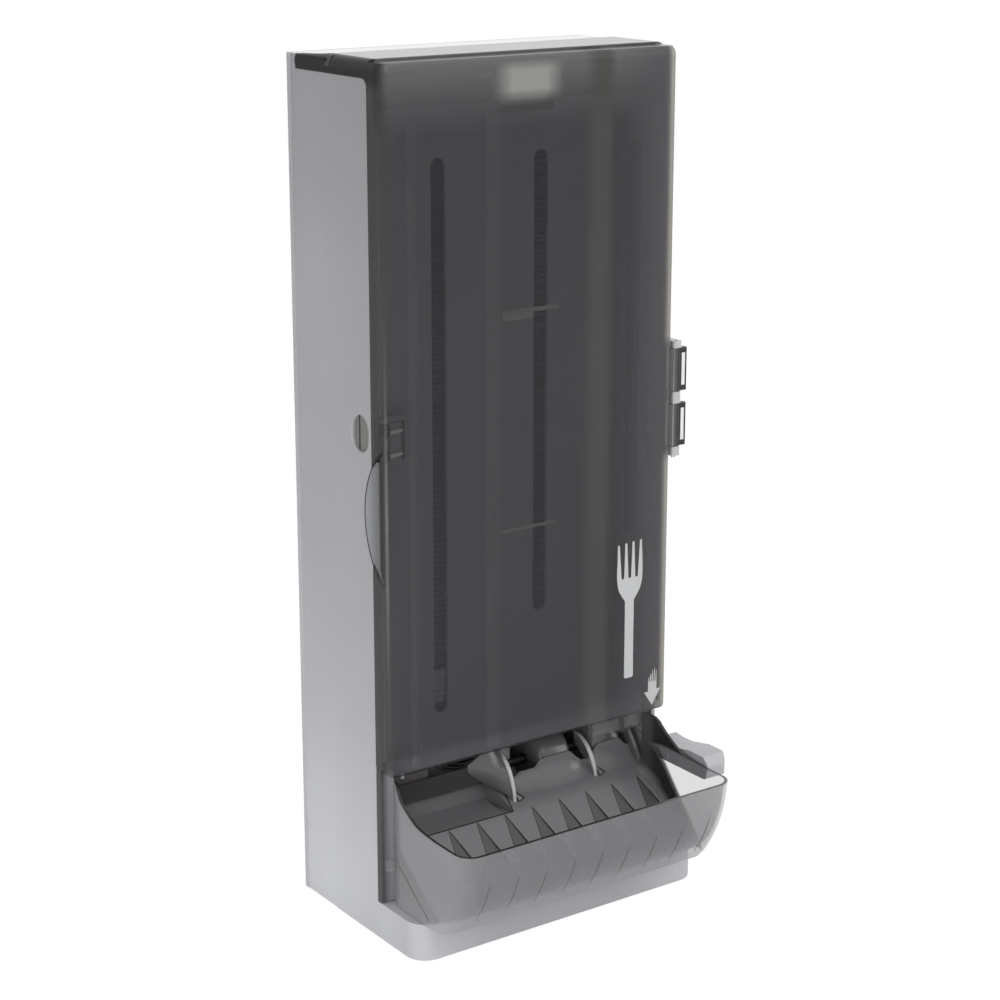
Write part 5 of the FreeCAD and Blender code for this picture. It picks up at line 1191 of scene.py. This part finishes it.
# Crest of the side band: rounded like the hood in front, and running out low towards the back
CREST = [
    (11.6, 622.0, 1.2), (12.2, 624.6, 1.6), (14.0, 626.2, 1.8), (18.0, 626.9, 1.8), (30.0, 627.5, 1.8),
    (40.0, 628.0, 2.4), (44.0, 628.3, 4.0), (47.0, 628.55, 6.0), (49.4, 628.65, 7.5), (56.0, 628.65, 7.5),
]
BAND_OUT, BAND_IN, BAND_LOW = -127.0, -124.2, 616.0
verts, faces, rings = [], [], []
for depth, top, turn in CREST:
    reach = max(BAND_IN, BAND_OUT + turn)
    low = top - (1.2 if turn > 2.8 else 0.3)
    ring = [(BAND_OUT + 0.05, BAND_LOW)] + arc(BAND_OUT + turn, top - turn, turn, 180, 90, 10)
    ring += [(reach, top), (reach, low), (BAND_IN, low), (BAND_IN, BAND_LOW)]
    rings.append([(x, -depth, z) for x, z in ring])
tube(verts, faces, rings, capped=True)
make_piece("band_crest", verts, faces, "striker", "cover")

# Lock face behind the key slot
verts, faces, which = [], [], []
extruded(verts, faces, oblong(-77.0, -100.0, 358.0, 388.0), "x", -124.6, -124.05)
mark(which, faces, 0)
extruded(verts, faces, oblong(-84.0, -85.6, 360.0, 386.0), "x", -124.8, -124.6)
mark(which, faces, 1)
make_piece("lock_face", verts, faces, ("lock", "tray_dark"), "housing", which=which,
           smooth=False)

# Prongs of the latch with light tips
verts, faces, which = [], [], []
for z in (361.2, 377.6):
    for x0, x1, half, look in ((-123.5, -119.0, 2.8, 0), (-119.0, -109.0, 1.3, 1)):
        outline = [(x0, z - half), (x1, z - half * 0.7 + 0.8), (x1, z + half * 0.7 + 0.8), (x0, z + half)]
        extruded(verts, faces, outline, "y", -115.2, -113.4)
        mark(which, faces, look)
make_piece("latch_prongs", verts, faces, ("prong", "tip"), "latch", which=which, smooth=False)

# Pale pads in the windows of the hinge loops: painted light of the white backdrop seen through them
verts, faces = [], []
for low in (334.5, 376.5):
    extruded(verts, faces, oblong(137.7, 141.1, low, low + 24.6), "y", -113.9, -113.4)
make_piece("loop_pads", verts, faces, "tip", "cover", smooth=False)

# Soft edges on the moulded nodes that keep their own shape
SOFT = {
    "housing_shell": 0.7, "back_plate": 0.8, "lever": 1.6, "hinge_bracket": 0.4, "drop_tray": 0.5,
    "base_plate": 0.6, "magazine_back": 0.4, "latch_bar": 0.4, "hinge_pin": 0.4,
}
for name, width in SOFT.items():
    bevelled(nodes[name], width, 3 if name == "lever" else 2)


# Floor and light
def stage_plane(name, size, z):
    """A floor under the object that isn't part of it."""
    bpy.ops.mesh.primitive_plane_add(size=size, location=(0, 0, z))
    plane = bpy.context.object
    plane.name = name
    return plane


def seen_by(tree, *rays):
    """One where any of the named kinds of ray meets the surface."""
    path = tree.nodes.new("ShaderNodeLightPath")
    seen = path.outputs[rays[0]]
    for ray in rays[1:]:
        seen = combine(tree, "MAXIMUM", seen, path.outputs[ray])
    return seen


def white(tree, kind, strength):
    """White light of a strength, as an emission or a background."""
    node = tree.nodes.new("ShaderNode" + kind)
    node.inputs["Color"].default_value = (1, 1, 1, 1)
    node.inputs["Strength"].default_value = strength
    return node.outputs[0]


def mixed(tree, share, first, second, output):
    """Send a mix of two shaders to the output."""
    mix = tree.nodes.new("ShaderNodeMixShader")
    tree.links.new(share, mix.inputs["Fac"])
    tree.links.new(first, mix.inputs[1])
    tree.links.new(second, mix.inputs[2])
    tree.links.new(mix.outputs[0], output.inputs["Surface"])


floor = stage_plane("floor", 30, -0.0005)
mat, tree, shader = new_material("floor_white")
shader.inputs["Base Color"].default_value = (0.88, 0.88, 0.88, 1)
shader.inputs["Roughness"].default_value = 0.9
share = span(tree, seen_by(tree, "Is Camera Ray", "Is Transmission Ray"), 0.0, 1.0, 0.0, 0.9)
mixed(tree, share, shader.outputs[0], white(tree, "Emission", 1.07), tree.nodes["Material Output"])
floor.data.materials.append(mat)

world = bpy.data.worlds.new("studio")
bpy.context.scene.world = world
world.use_nodes = True
tree = world.node_tree
tree.nodes.clear()
out = tree.nodes.new("ShaderNodeOutputWorld")
seen = seen_by(tree, "Is Camera Ray", "Is Transmission Ray", "Is Glossy Ray")
mixed(tree, seen, white(tree, "Background", 0.45), white(tree, "Background", 1.0), out)


def area_light(name, place, target, size, power):
    """A soft light, hidden from the camera, that points from one place to another."""
    data = bpy.data.lights.new(name, "AREA")
    data.shape = "RECTANGLE"
    data.size, data.size_y = size
    data.energy = power
    obj = bpy.data.objects.new(name, data)
    bpy.context.scene.collection.objects.link(obj)
    obj.location = place
    obj.visible_camera = False
    obj.rotation_euler = (Vector(target) - Vector(place)).to_track_quat("-Z", "Y").to_euler()


area_light("key_light", (0.2, -2.4, 2.3), (0, 0, 0.3), (1.6, 1.6), 14)
area_light("top_light", (0.1, 0.1, 2.0), (0, 0, 0.6), (1.2, 1.2), 8)
area_light("low_light", (-0.72, -0.66, 0.03), (-0.12, -0.08, 0.01), (0.4, 0.2), 3.5)
area_light("side_light", (2.4, -1.5, 0.9), (0, 0, 0.2), (1.4, 1.4), 13)

bpy.context.scene.view_settings.view_transform = "Standard"
